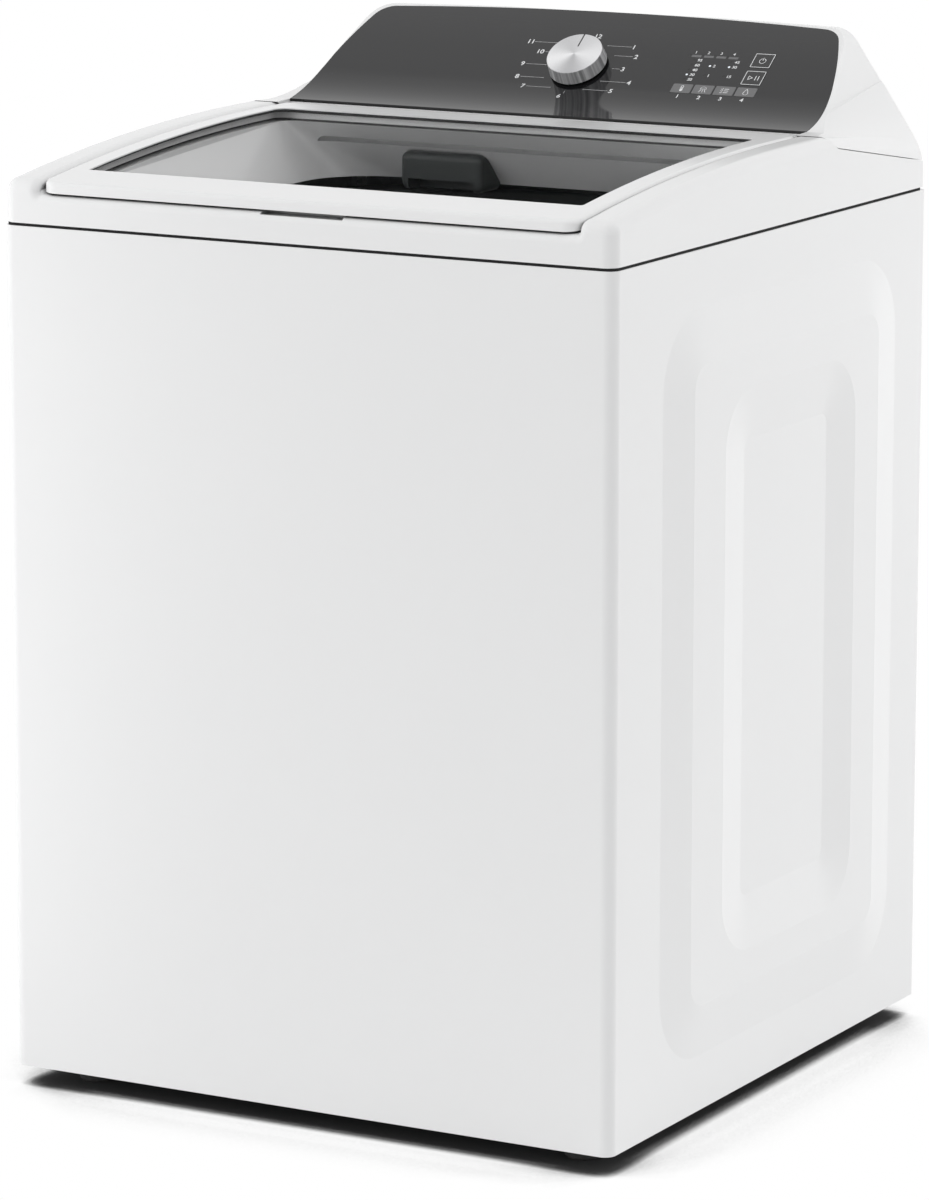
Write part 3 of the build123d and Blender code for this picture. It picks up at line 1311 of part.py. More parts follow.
def belt_face(grow):
    """The outline of a belt round both pulleys."""
    big = drive_pulley_radius + grow
    small = motor_pulley_radius + grow
    angle = (pi / 2) - asin((big - small) / motor_distance)
    corners = [(big * cos(angle), big * sin(angle)),
               (motor_distance + small * cos(angle), small * sin(angle)),
               (motor_distance + small * cos(angle), -small * sin(angle)),
               (big * cos(angle), -big * sin(angle))]
    middle = make_face(Polyline(*corners, close=True))
    return middle + Circle(big) + Pos(motor_distance, 0) * Circle(small)


belt = belt_face(slide_gap + belt_thickness) - belt_face(slide_gap)
belt = upwards(belt, belt_low + slide_gap, belt_high - slide_gap)
save("drive_belt", at_tub(0, 0, motor_angle) * belt)

# ---------------------------------------------------------------- drain
pump_low = tub_floor - 36 - pump_height
pump_z = (pump_low, pump_low + pump_height)
cavity = post(pump_x, pump_y, (pump_low + pump_wall, pump_z[1] - pump_wall), pump_radius - pump_wall)
pump = post(pump_x, pump_y, pump_z, pump_radius)
pump += post(pump_x, pump_y, (pump_low - pump_motor_height, pump_low), pump_motor_radius)
pump += post(pump_x, pump_y, (pump_z[1], tub_floor), 18)
pump += post(pump_x, pump_y, (tub_floor - 4, tub_floor), 26)
outflow_z = pump_z[1] - 16
outflow = [(pump_x, pump_y, outflow_z), (outlet_x, outlet_y, outflow_z),
           (outlet_x, outlet_y, bellows_low)]
outflow_path = FilletPolyline(*outflow, radius=20)
outflow_start = Plane(origin=outflow_path @ 0, z_dir=outflow_path % 0)
pump += sweep(outflow_start * Circle(outlet_radius), path=outflow_path)
pump -= sweep(outflow_start * Circle(outlet_bore), path=outflow_path)
pump -= cavity
pump -= post(pump_x, pump_y, (pump_z[1] - pump_wall - 1, tub_floor + 1), 14)
pump -= post(pump_x, pump_y, (pump_low - 20, pump_low + pump_wall + 1), pump_shaft_radius + running_gap)
save("drain_pump", pump)

impeller_low = pump_low + pump_wall + 3
impeller = post(0, 0, (impeller_low, impeller_low + 3), impeller_radius)
impeller += post(0, 0, (impeller_low, impeller_low + impeller_height), 7)
for step in range(impeller_blades):
    blade = block((5, impeller_radius - 1), (-1.2, 1.2), (impeller_low, impeller_low + impeller_height))
    impeller += Rot(0, 0, step * 360 / impeller_blades) * blade
impeller += post(0, 0, (pump_low - 18, impeller_low + 1), pump_shaft_radius)
save("pump_impeller", Pos(pump_x, pump_y, 0) * impeller)

fold = (bellows_top - bellows_low) / bellows_folds
outside = []
for step in range(bellows_folds):
    low = bellows_low + step * fold
    outside += [(outlet_radius + 1, low), (bellows_radius, low + fold / 2)]
outside.append((outlet_radius + 1, bellows_top))
inside = [(radius - bellows_wall, z) for radius, z in reversed(outside)]
save("drain_bellows", turned([*outside, *inside], outlet_x, outlet_y))
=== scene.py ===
"""A top load washing machine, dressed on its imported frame. Lengths are in metres unless a name says mm."""

from math import cos, radians, sin, sqrt

import bpy
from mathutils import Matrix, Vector


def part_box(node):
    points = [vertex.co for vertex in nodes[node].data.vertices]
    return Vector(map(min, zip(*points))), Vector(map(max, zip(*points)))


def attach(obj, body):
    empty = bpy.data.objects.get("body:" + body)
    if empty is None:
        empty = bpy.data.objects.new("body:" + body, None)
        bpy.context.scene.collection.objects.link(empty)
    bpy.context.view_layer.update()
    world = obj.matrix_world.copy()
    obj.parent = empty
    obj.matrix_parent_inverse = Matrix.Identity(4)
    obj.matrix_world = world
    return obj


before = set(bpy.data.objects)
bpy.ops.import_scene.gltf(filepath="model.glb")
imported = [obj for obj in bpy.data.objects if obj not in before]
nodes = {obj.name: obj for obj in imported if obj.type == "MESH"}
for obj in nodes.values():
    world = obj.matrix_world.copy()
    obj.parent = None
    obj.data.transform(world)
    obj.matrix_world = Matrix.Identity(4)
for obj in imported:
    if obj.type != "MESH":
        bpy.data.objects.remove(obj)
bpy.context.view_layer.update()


# ---------------------------------------------------------------- Cabinet wrapper
# One steel sheet, folded round the front and both sides, with a raised field pressed into each side.
# It is coated with white enamel powder and baked, which leaves a faint orange peel.
class Wire:
    """One socket of a finish. Arithmetic on it adds the Math nodes that work it out."""

    def __init__(self, tree, socket=None):
        self.tree = tree
        self.socket = socket

    def add(self, kind, setup=None, sockets=None, out=0):
        """Adds a node: its settings first, then the values or wires of its sockets."""
        node = self.tree.nodes.new(kind)
        for name, value in (setup or {}).items():
            if name == "stops":
                stops = node.color_ramp.elements
                stops[0].position, stops[1].position = value[0][0], value[-1][0]
                for place, _ in value[1:-1]:
                    stops.new(place)
                for stop, (_, colour) in zip(stops, value):
                    stop.color = (*colour, 1)
            else:
                setattr(node, name, value)
        for name, value in (sockets or {}).items():
            if isinstance(value, Wire):
                self.tree.links.new(value.socket, node.inputs[name])
            else:
                node.inputs[name].default_value = value
        return Wire(self.tree, node.outputs[out]) if node.outputs else None

    def maths(self, operation, *others):
        return self.add("ShaderNodeMath", {"operation": operation}, dict(enumerate((self, *others))))

    def __add__(self, other):
        return self.maths("ADD", other)

    __radd__ = __add__

    def __sub__(self, other):
        return self.maths("SUBTRACT", other)

    def __rsub__(self, other):
        return self * -1 + other

    def __mul__(self, other):
        return self.maths("MULTIPLY", other)

    __rmul__ = __mul__

    def __truediv__(self, other):
        return self.maths("DIVIDE", other)

    def __pow__(self, other):
        return self.maths("POWER", other)

    def __gt__(self, other):
        return self.maths("GREATER_THAN", other)

    def __lt__(self, other):
        return self.maths("LESS_THAN", other)

    def between(self, first, second):
        """The colour that lies between two, as far along as this value."""
        return self.add("ShaderNodeMix", {"data_type": "RGBA", "clamp_factor": True},
                        {0: self, 6: first, 7: second}, 2)

    def along(self, direction, origin=(0, 0, 0)):
        """How far this place lies from the origin in one direction."""
        start = sum(a * b for a, b in zip(direction, origin))
        turned = self.add("ShaderNodeVectorMath", {"operation": "DOT_PRODUCT"},
                          {0: self, 1: direction}, "Value")
        return turned - start

    def grain(self, scale, detail=2.0, stretch=None):
        """Soft random tone over the surface, finer as scale rises."""
        place = self
        if stretch:
            place = self.add("ShaderNodeVectorMath", {"operation": "MULTIPLY"}, {0: self, 1: stretch})
        return place.add("ShaderNodeTexNoise", None,
                         {"Vector": place, "Scale": scale, "Detail": detail, "Roughness": 0.55})

    def relief(self, strength, depth):
        """Turns this height into the slope of the surface."""
        return self.add("ShaderNodeBump", None,
                        {"Height": self, "Strength": strength, "Distance": depth})


def new_finish(name):
    """Starts a finish, with a wire for the place of each point on its piece."""
    material = bpy.data.materials.new(name)
    material.use_nodes = True
    material.node_tree.nodes.clear()
    return material, Wire(material.node_tree).add("ShaderNodeTexCoord", out="Object")


def end_finish(place, sockets):
    """Closes a finish with one surface."""
    surface = place.add("ShaderNodeBsdfPrincipled", None, sockets)
    place.add("ShaderNodeOutputMaterial", None, {"Surface": surface})


def dress(finish, *names):
    """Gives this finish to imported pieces."""
    for name in names:
        for slot in nodes[name].material_slots:
            slot.material = finish


white_enamel, place = new_finish("white_enamel")
peel = place.grain(520, 3.0)
cloud = place.grain(2.4)
end_finish(place, {
    "Base Color": cloud.between((0.842, 0.844, 0.847, 1), (0.868, 0.870, 0.872, 1)),
    "Roughness": 0.34 + place.grain(26) * 0.10,
    "Normal": peel.relief(0.10, 0.0002),
    "Coat Weight": 0.25,
    "Coat Roughness": 0.18,
})
dress(white_enamel, "cabinet_wrapper")


# ---------------------------------------------------------------- Rear panel, base and brackets
# Bare galvanised sheet, cut, pressed and spot welded. The zinc froze in flat crystals of different
# brightness, a few millimetres to a centimetre across.
galvanised, place = new_finish("galvanised_sheet")
crystal = place.add("ShaderNodeTexVoronoi", {"feature": "F1"},
                    {"Vector": place, "Scale": 105, "Randomness": 1.0}, "Color").along((0.5, 0.3, 0.2))
streak = place.grain(7, 4.0, (1, 1, 0.25))
tone = crystal * 0.7 + streak * 0.3
end_finish(place, {
    "Base Color": tone.between((0.42, 0.43, 0.45, 1), (0.70, 0.71, 0.73, 1)),
    "Metallic": 0.85,
    "Roughness": 0.30 + crystal * 0.16 + streak * 0.08,
    "Normal": place.grain(900, 2.0).relief(0.12, 0.0002),
})
dress(galvanised, "rear_panel", "base_frame", "hanger_brackets", "motor_bracket")


# ---------------------------------------------------------------- Levelling feet
# Moulded rubber feet on threaded studs, screwed into the base frame's corners. The rubber is matt
# black and picks up a little grey dust near the floor.
foot_rubber, place = new_finish("foot_rubber")
dust = (place.grain(160, 4.0) - place.along((0, 0, 30))) * 0.9
end_finish(place, {
    "Base Color": dust.between((0.022, 0.022, 0.023, 1), (0.085, 0.083, 0.080, 1)),
    "Roughness": 0.68 + place.grain(400) * 0.14,
    "Normal": place.grain(1500, 3.0).relief(0.25, 0.0003),
})
dress(foot_rubber, "front_left_foot", "front_right_foot", "rear_left_foot", "rear_right_foot")


# ---------------------------------------------------------------- Seals
# Black rubber: the gasket between cabinet and top panel, the pleated drain bellows and the tub's shaft
# seal. It is soft and matt, with a slight bloom.
seal_rubber, place = new_finish("seal_rubber")
bloom = place.grain(38, 4.0)
end_finish(place, {
    "Base Color": bloom.between((0.010, 0.010, 0.010, 1), (0.026, 0.026, 0.027, 1)),
    "Roughness": 0.55 + bloom * 0.25,
    "Normal": place.grain(1300, 2.0).relief(0.15, 0.0002),
    "Specular IOR Level": 0.15,
})
dress(seal_rubber, "top_gasket", "drain_bellows", "tub_seal")


# ---------------------------------------------------------------- White mouldings
# The top panel, the lid's frame, the console's housing and its rear cover are moulded in white plastic,
# a little glossier than the cabinet. The mould leaves long faint flow lines. In the narrow gaps between
# them the colour is darkened as painted shade.
white_moulding, place = new_finish("white_moulding")
flow = place.grain(5, 3.0, (0.6, 1, 2.5))
# Ambient occlusion darkens the colour in the narrow gaps between the mouldings: painted shade.
painted_gap_shade = place.add("ShaderNodeAmbientOcclusion", {"samples": 8}, {"Distance": 0.012}, "AO")
unshaded_tone = flow.between((0.845, 0.847, 0.850, 1), (0.872, 0.874, 0.876, 1))
end_finish(place, {
    "Base Color": ((painted_gap_shade - 0.08) * 2.2).between((0.10, 0.10, 0.10, 1), unshaded_tone),
    "Roughness": 0.20 + flow * 0.10,
    "Normal": place.grain(240, 2.0).relief(0.05, 0.0002),
    "Coat Weight": 0.15,
    "Coat Roughness": 0.08,
})
dress(white_moulding, "top_panel", "lid_frame", "console_housing", "console_rear_cover")


# ---------------------------------------------------------------- Lid glass
# One pane of tempered glass with a smoke tint, bent to the lid's arch and seated under its frame.
# Each face holds back a little light, and it is slightly darker towards its edges.
smoked_glass, place = new_finish("smoked_glass")
low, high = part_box("lid_glass")
middle = (low + high) / 2
side = place.along((1, 0, 0), middle).maths("ABSOLUTE") / ((high - low).x / 2)
depth = place.along((0, 1, 0), middle).maths("ABSOLUTE") / ((high - low).y / 2)
rim = side.maths("MAXIMUM", depth) ** 14
end_finish(place, {
    "Base Color": rim.between((0.016, 0.018, 0.018, 1), (0.006, 0.007, 0.007, 1)),
    "Roughness": 0.015 + place.grain(60, 3.0) * 0.02,
    "Alpha": 0.04 + rim * 0.10,
    "IOR": 1.03,
})
dress(smoked_glass, "lid_glass")


# ---------------------------------------------------------------- Steel parts
# Turned pins, rods, springs, shafts, bearings, gears and screws in plain steel. The tool or the die
# leaves fine rings and a thin film of oil.
steel, place = new_finish("plain_steel")
ring = place.grain(140, 3.0, (1, 1, 14))
end_finish(place, {
    "Base Color": ring.between((0.40, 0.41, 0.42, 1), (0.62, 0.63, 0.64, 1)),
    "Metallic": 0.95,
    "Roughness": 0.24 + ring * 0.18,
    "Normal": ring.relief(0.12, 0.0002),
})
dress(steel, "hinge_brackets", "lid_hinge_pins", "lid_lock_bolt", "suspension_rods", "suspension_springs",
      "cabinet_screws", "spin_bearings", "agitator_shaft", "planet_gear_1", "planet_gear_2",
      "planet_gear_3", "motor_rotor")


# ---------------------------------------------------------------- Console facia
# A thin dark grey acrylic panel with a high gloss, snapped into the white housing. It bends forward
# along its lower edge. Its colour is painted lighter towards the top as a painted reflection, and a near
# black strip along the lower edge is painted shade.
facia_origin = Vector((0, 0.2262, 1.0235))
facia_slope = radians(36.55)
facia_up = Vector((0, cos(facia_slope), sin(facia_slope)))
facia_out = Vector((0, -sin(facia_slope), cos(facia_slope)))
bend_start_mm = -22.2
bend_radius_mm = 160

facia_gloss, place = new_finish("facia_gloss")
height = place.along(facia_up, facia_origin)
below_origin, facia_length, shade_strip_height = 0.085, 0.175, -0.0812
# The ramp makes the colour lighter towards the top: a painted reflection.
shade = place.add("ShaderNodeValToRGB", {"stops": [
    (0.0, (0.010, 0.010, 0.011)), (0.30, (0.010, 0.010, 0.011)),
    (0.62, (0.014, 0.014, 0.015)), (1.0, (0.027, 0.027, 0.028))]},
    {0: (height + below_origin) / facia_length})
# A near black strip along the lower edge: painted shade.
painted_shade_strip = height < shade_strip_height
end_finish(place, {
    "Base Color": painted_shade_strip.between(shade, (0.004, 0.004, 0.004, 1)),
    "Roughness": 0.05 + place.grain(50, 3.0) * 0.03,
    "Normal": place.grain(14, 2.0).relief(0.02, 0.0004),
})
dress(facia_gloss, "console_facia")


# ---------------------------------------------------------------- Printed dial and light marks
# White ink, screen printed on the facia: a ring of plain numbers round the knob, each with a thin
# leader line, and small numbers beside the lights.
def stroke(points, width, closed=False):
    """A line of ink through points of the facia, as quads in millimetres."""
    ends = list(zip(points, points[1:] + points[:1])) if closed else list(zip(points, points[1:]))
    quads = []
    for (ax, av), (bx, bv) in ends:
        run = sqrt((bx - ax) ** 2 + (bv - av) ** 2)
        side_x, side_v = -(bv - av) / run * width / 2, (bx - ax) / run * width / 2
        over_x, over_v = (bx - ax) / run * width * 0.3, (bv - av) / run * width * 0.3
        ax, av, bx, bv = ax - over_x, av - over_v, bx + over_x, bv + over_v
        quads.append([(ax + side_x, av + side_v), (ax - side_x, av - side_v),
                      (bx - side_x, bv - side_v), (bx + side_x, bv + side_v)])
    return quads


def round_line(x, v, radius, start, end, count=24):
    """Points on an arc between two angles in degrees."""
    turns = [radians(start + (end - start) * step / count) for step in range(count + 1)]
    return [(x + radius * cos(turn), v + radius * sin(turn)) for turn in turns]


def numeral(text, x, v, tall, align=0.5):
    """The flat faces of a number, tall millimetres high, with align of its width left of x."""
    curve = bpy.data.curves.new("type", "FONT")
    curve.body = text
    curve.offset = 0.018
    holder = bpy.data.objects.new("type", curve)
    mesh = bpy.data.meshes.new_from_object(holder)
    bpy.data.objects.remove(holder)
    across = [point.co.x for point in mesh.vertices]
    up = [point.co.y for point in mesh.vertices]
    scale = tall / (max(up) - min(up))
    left = min(across) + align * (max(across) - min(across))
    base = (max(up) + min(up)) / 2
    faces = [[(x + (mesh.vertices[corner].co.x - left) * scale * 1.06,
               v + (mesh.vertices[corner].co.y - base) * scale)
              for corner in face.vertices] for face in mesh.polygons]
    bpy.data.meshes.remove(mesh)
    return faces


def on_facia(x, v, lift):
    """A place on the facia's skin from millimetres across and up its slope."""
    below = max(0, bend_start_mm - v)
    rise = bend_radius_mm - sqrt(bend_radius_mm ** 2 - below ** 2)
    flat = facia_origin + Vector((x / 1000, 0, 0)) + facia_up * (v / 1000)
    above = flat + facia_out * ((rise + 3) / 1000)
    found, where, _, _ = nodes["console_facia"].ray_cast(above, -facia_out)
    return (where if found else flat + facia_out * rise / 1000) + facia_out * lift / 1000


def on_key(x, v, lift):
    """A place over the facia's flat part, at a height in millimetres."""
    return facia_origin + Vector((x / 1000, 0, 0)) + facia_up * (v / 1000) + facia_out * lift / 1000


def print_ink(name, faces, spot, lift, finish, body):
    """Makes one film of ink from flat faces and fixes it to a body."""
    points, corners = [], []
    for face in faces:
        corners.append(range(len(points), len(points) + len(face)))
        points += [spot(x, v, lift) for x, v in face]
    mesh = bpy.data.meshes.new(name)
    mesh.from_pydata(points, [], [list(face) for face in corners])
    film = bpy.data.objects.new(name, mesh)
    bpy.context.collection.objects.link(film)
    mesh.materials.append(finish)
    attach(film, body)


white_ink, place = new_finish("white_ink")
ink_tone = place.grain(700, 3.0)
end_finish(place, {
    "Base Color": ink_tone.between((0.80, 0.81, 0.82, 1), (0.92, 0.93, 0.94, 1)),
    "Roughness": 0.42 + ink_tone * 0.12,
})
grey_ink, place = new_finish("grey_ink")
ink_tone = place.grain(700, 3.0)
end_finish(place, {
    "Base Color": ink_tone.between((0.42, 0.42, 0.43, 1), (0.54, 0.54, 0.55, 1)),
    "Roughness": 0.42 + ink_tone * 0.12,
})

dial_v_mm = 2.5
tip_radius_mm = 40.15
dial_type_mm = 6.4
line_mm = 0.55
dot_radius_mm = 0.7
before_label_mm = 1.8
upright_line_mm = (-1, 3.2)
upright_label_mm = (3.2, 8.4)
label_starts_mm = {1: 50.8, 2: 57.8, 3: 50.7, 4: 65.9, 5: 50.7, 7: -50.5, 8: -64, 9: -66, 10: -51, 11: -70}
marks, leaders = [], []
for hour in range(1, 13):
    turn = radians(30 * hour)
    tip = (tip_radius_mm * sin(turn), dial_v_mm + tip_radius_mm * cos(turn))
    if hour in label_starts_mm:
        label = label_starts_mm[hour]
        sign = 1 if label > 0 else -1
        leaders += stroke([tip, (label - sign * before_label_mm, tip[1])], line_mm)
        leaders += [round_line(tip[0], tip[1], dot_radius_mm, 0, 360, 10)]
        marks += numeral(str(hour), label, tip[1], dial_type_mm, 0.0 if sign > 0 else 1.0)
    else:
        sign = 1 if tip[1] > dial_v_mm else -1
        leaders += stroke([(tip[0], tip[1] + sign * far) for far in upright_line_mm], line_mm)
        marks += numeral(str(hour), tip[0] + sign * upright_label_mm[0],
                         tip[1] + sign * upright_label_mm[1], dial_type_mm)

light_type_mm = 4.0
beside_light_mm = 3.8
light_columns_mm = (129.2, 150.5, 173.0)
light_rows_mm = (23.1, 15.5, 8.0, 0.6, -6.8)
for row, text in enumerate(("95", "60", "40", "30", "20")):
    marks += numeral(text, light_columns_mm[0] + beside_light_mm, light_rows_mm[row], light_type_mm, 0.0)
for column, row, text in ((1, 1, "2"), (1, 3, "1"), (2, 0, "45"), (2, 1, "30"), (2, 3, "15")):
    marks += numeral(text, light_columns_mm[column] + beside_light_mm, light_rows_mm[row],
                     light_type_mm, 0.0)
first_bar_x_mm, bar_pitch_mm, above_bar_v_mm, bar_type_mm = 126.5, 15, 35.2, 3.8
first_option_x_mm, option_pitch_mm, below_option_v_mm, option_type_mm = 132.4, 25.1, -33.8, 5.6
for step in range(4):
    marks += numeral(str(step + 1), first_bar_x_mm + step * bar_pitch_mm, above_bar_v_mm, bar_type_mm)
    marks += numeral(str(step + 1), first_option_x_mm + step * option_pitch_mm, below_option_v_mm,
                     option_type_mm)
number_lift_mm, line_lift_mm = 0.10, 0.08
print_ink("dial_numbers", marks, on_facia, number_lift_mm, white_ink, "cabinet")
print_ink("dial_leader_lines", leaders, on_facia, line_lift_mm, grey_ink, "cabinet")


# ---------------------------------------------------------------- Cycle knob
# A cap turned from aluminium, pressed on a black plastic core. The lathe leaves fine rings on its face,
# which carries bright and dark sectors painted on as painted highlights. Its side is brushed lengthwise,
# with bright and dark streaks that are partly that brushing and partly painted reflection. The pointer's
# groove is coloured near black.
knob_middle = facia_origin + facia_up * (dial_v_mm / 1000)
turned_metal, place = new_finish("turned_aluminium")
across = place.along((1, 0, 0), knob_middle)
upward = place.along(facia_up, knob_middle)
reach = (across * across + upward * upward).maths("SQRT")
bearing = upward.maths("ARCTAN2", across)
height = place.along(facia_out, knob_middle)
rings = place.add("ShaderNodeTexNoise", {"noise_dimensions": "1D"},
                  {"W": reach * 5200, "Scale": 1.0, "Detail": 3.0, "Roughness": 0.6})
# Bright and dark sectors by angle round the face: painted highlights.
painted_face_sectors = (bearing * 2 - 0.55).maths("COSINE") * 0.34 + (bearing * 3 + 1.2).maths("COSINE") * 0.16 + 0.5
# Streaks round the side: partly brushing, partly painted reflection.
brush_streaks_and_glints = place.add("ShaderNodeTexNoise", {"noise_dimensions": "1D"},
                    {"W": bearing * 2.6, "Scale": 1.7, "Detail": 2.5, "Roughness": 0.55})
brush_streaks_and_glints = (brush_streaks_and_glints - 0.5) * 4 + 0.5
cap_radius = 0.0306
side_wall = reach > cap_radius
# The knob's colour, with its painted highlights and painted reflection.
knob_tone_and_sheen = side_wall.between(painted_face_sectors.between((0.44, 0.44, 0.45, 1), (0.90, 0.90, 0.91, 1)),
                           brush_streaks_and_glints.between((0.30, 0.30, 0.31, 1), (0.98, 0.98, 0.99, 1)))
pointer_half_width = 0.0008
pointer_start = 0.0108
groove = (across.maths("ABSOLUTE") < pointer_half_width) * (upward > pointer_start)
knob_tone_and_sheen = groove.between((rings * 0.4).between(knob_tone_and_sheen, (0.60, 0.60, 0.61, 1)), (0.06, 0.06, 0.06, 1))
end_finish(place, {
    "Base Color": knob_tone_and_sheen,
    "Metallic": 1.0 - groove * 0.8 - side_wall * 0.45,
    "Roughness": 0.20 + rings * 0.16 + side_wall * 0.12,
    "Normal": rings.relief(0.10, 0.0001),
})
dress(turned_metal, "knob_cap")

core_black, place = new_finish("core_black")
speck = place.grain(2600, 2.0)
end_finish(place, {
    "Base Color": speck.between((0.010, 0.010, 0.011, 1), (0.022, 0.022, 0.023, 1)),
    "Roughness": 0.38 + speck * 0.16,
    "Normal": speck.relief(0.25, 0.0001),
})
dress(core_black, "knob_core", "selector_switch", "lid_lock_housing", "cord_gland")


# ---------------------------------------------------------------- Power and start keys
# Square keys in the facia's own gloss, guided in its openings. Each has a fine printed outline, with
# the usual power symbol or play and pause symbol.
dark_key, place = new_finish("dark_key_gloss")
end_finish(place, {
    "Base Color": place.grain(90, 3.0).between((0.018, 0.018, 0.019, 1), (0.025, 0.025, 0.026, 1)),
    "Roughness": 0.07 + place.grain(120, 3.0) * 0.05,
})
dress(dark_key, "power_key", "start_key")
key_x_mm, power_v_mm, start_v_mm = 207.8, 27.6, 0.6
half_x, half_v = 10.9, 10.2
key_print_lift_mm = 0.46
for name, v_mm, body in (("power", power_v_mm, "power_button"), ("start", start_v_mm, "start_button")):
    outline = stroke([(key_x_mm - half_x, v_mm - half_v), (key_x_mm + half_x, v_mm - half_v),
                      (key_x_mm + half_x, v_mm + half_v), (key_x_mm - half_x, v_mm + half_v)], 0.7, True)
    if name == "power":
        symbol = stroke(round_line(key_x_mm, v_mm - 0.4, 3.6, 118, 422), 0.8)
        symbol += stroke([(key_x_mm, v_mm + 0.4), (key_x_mm, v_mm + 4.2)], 0.8)
    else:
        symbol = stroke([(key_x_mm - 6.0, v_mm - 2.8), (key_x_mm - 1.2, v_mm),
                         (key_x_mm - 6.0, v_mm + 2.8)], 0.7, True)
        symbol += stroke([(key_x_mm + 2.2, v_mm - 3.1), (key_x_mm + 2.2, v_mm + 3.1)], 0.8)
        symbol += stroke([(key_x_mm + 5.6, v_mm - 3.1), (key_x_mm + 5.6, v_mm + 3.1)], 0.8)
    print_ink(f"{name}_key_print", outline + symbol, on_key, key_print_lift_mm, white_ink, body)


# ---------------------------------------------------------------- Option keys
# Four small keys in satin grey plastic below the lights, printed with a thermometer, a shower, a list
# with ticks, and a drop.
grey_key, place = new_finish("grey_key_satin")
speck = place.grain(900, 3.0)
end_finish(place, {
    "Base Color": speck.between((0.135, 0.135, 0.138, 1), (0.170, 0.170, 0.173, 1)),
    "Roughness": 0.30 + speck * 0.10,
    "Normal": speck.relief(0.08, 0.0001),
})
dress(grey_key, "option_key_1", "option_key_2", "option_key_3", "option_key_4")
option_v_mm = -21.4


def thermometer(x, v):
    """A bulb with a stem."""
    bulb = [round_line(x, v - 2.6, 1.7, 0, 360)]
    return bulb + stroke([(x - 1.3, v - 1.6), (x - 1.3, v + 3.4), (x, v + 4.4), (x + 1.3, v + 3.4),
                          (x + 1.3, v - 1.6)], 0.65) + stroke([(x, v - 2), (x, v + 1.6)], 0.8)


def shower(x, v):
    """A rose with rays of water."""
    rays = []
    for step in (-1, 0, 1):
        rays += stroke([(x + step * 2.2, v - 0.4), (x + step * 3.6, v - 4.0)], 0.65)
    return rays + stroke(round_line(x, v + 0.8, 3.4, 0, 180), 0.7) + stroke(
        [(x - 3.4, v + 0.8), (x + 3.4, v + 0.8)], 0.65)


def ticked_list(x, v):
    """Three lines, each with a tick."""
    rows = []
    for row in (-2.7, 0, 2.7):
        rows += stroke([(x - 4.4, v + row), (x - 3.5, v + row - 0.8), (x - 2.1, v + row + 1.0)], 0.6)
        rows += stroke([(x - 0.4, v + row), (x + 4.4, v + row)], 0.75)
    return rows


def drop(x, v):
    """A drop of water in outline."""
    low_half = round_line(x, v - 1.2, 3.0, 200, 340, 12)
    return stroke([(x, v + 4.6), (x - 1.8, v + 1.4)] + low_half + [(x + 1.8, v + 1.4)], 0.7, True)


for step, symbol in enumerate((thermometer, shower, ticked_list, drop)):
    faces = symbol(first_option_x_mm + option_pitch_mm * step, option_v_mm)
    print_ink(f"option_key_{step + 1}_print", faces, on_key, key_print_lift_mm, white_ink,
              f"option_button_{step + 1}")


# ---------------------------------------------------------------- Indicator lights
# Milky light guides that end just under the facia's skin: a bar in four fields and ten dots. Three of
# the dots are lit, the others stay dark grey.
light_lens, place = new_finish("light_lens")
x_place = place.along((1, 0, 0), facia_origin)
v_place = place.along(facia_up, facia_origin)
lit = None
lens_radius_squared = 0.0000036
for column, row in ((0, 3), (1, 1), (2, 1)):
    off_x, off_v = x_place - light_columns_mm[column] / 1000, v_place - light_rows_mm[row] / 1000
    near = (off_x * off_x + off_v * off_v) < lens_radius_squared
    lit = near if lit is None else lit + near
bar_foot, bar_start, field_pitch = 0.0275, 0.120, 0.0145
bar = v_place > bar_foot
field = ((x_place - bar_start) / field_pitch).maths("FRACT")
gap_middle, half_gap = 0.12, 0.11
gap = bar * ((field - gap_middle).maths("ABSOLUTE") < half_gap)
off_tone = (bar - gap).between((0.012, 0.012, 0.012, 1), (0.14, 0.14, 0.145, 1))
end_finish(place, {
    "Base Color": lit.between(off_tone, (0.80, 0.84, 0.88, 1)),
    "Roughness": 0.22 + place.grain(500) * 0.1,
    "Emission Color": lit.between((0, 0, 0, 1), (0.80, 0.88, 0.95, 1)),
    "Emission Strength": 0.35,
})
dress(light_lens, "indicator_lights")


# ---------------------------------------------------------------- Control board
# A glass fibre board in green lacquer behind the facia, with copper tracks that show through as a
# lighter green and rows of tinned solder points.
board_green, place = new_finish("board_green")
x_place = place.along((1, 0, 0))
v_place = place.along(facia_up, facia_origin)
waves_across, tracks_up, track_share = 210, 260, 0.34
track = ((x_place * waves_across).maths("SINE") * 0.5 + v_place * tracks_up).maths("FRACT") < track_share
dots_each_way, dot_radius_squared = 120, 0.035
dot_x = (x_place * dots_each_way).maths("FRACT") - 0.5
dot_v = (v_place * dots_each_way).maths("FRACT") - 0.5
solder = (dot_x * dot_x + dot_v * dot_v) < dot_radius_squared
lacquer = track.between((0.012, 0.085, 0.035, 1), (0.030, 0.160, 0.070, 1))
end_finish(place, {
    "Base Color": solder.between(lacquer, (0.62, 0.62, 0.60, 1)),
    "Metallic": solder * 0.9,
    "Roughness": 0.42 - solder * 0.15 + place.grain(300) * 0.08,
    "Normal": (track + solder).relief(0.3, 0.0001),
})
dress(board_green, "control_board")


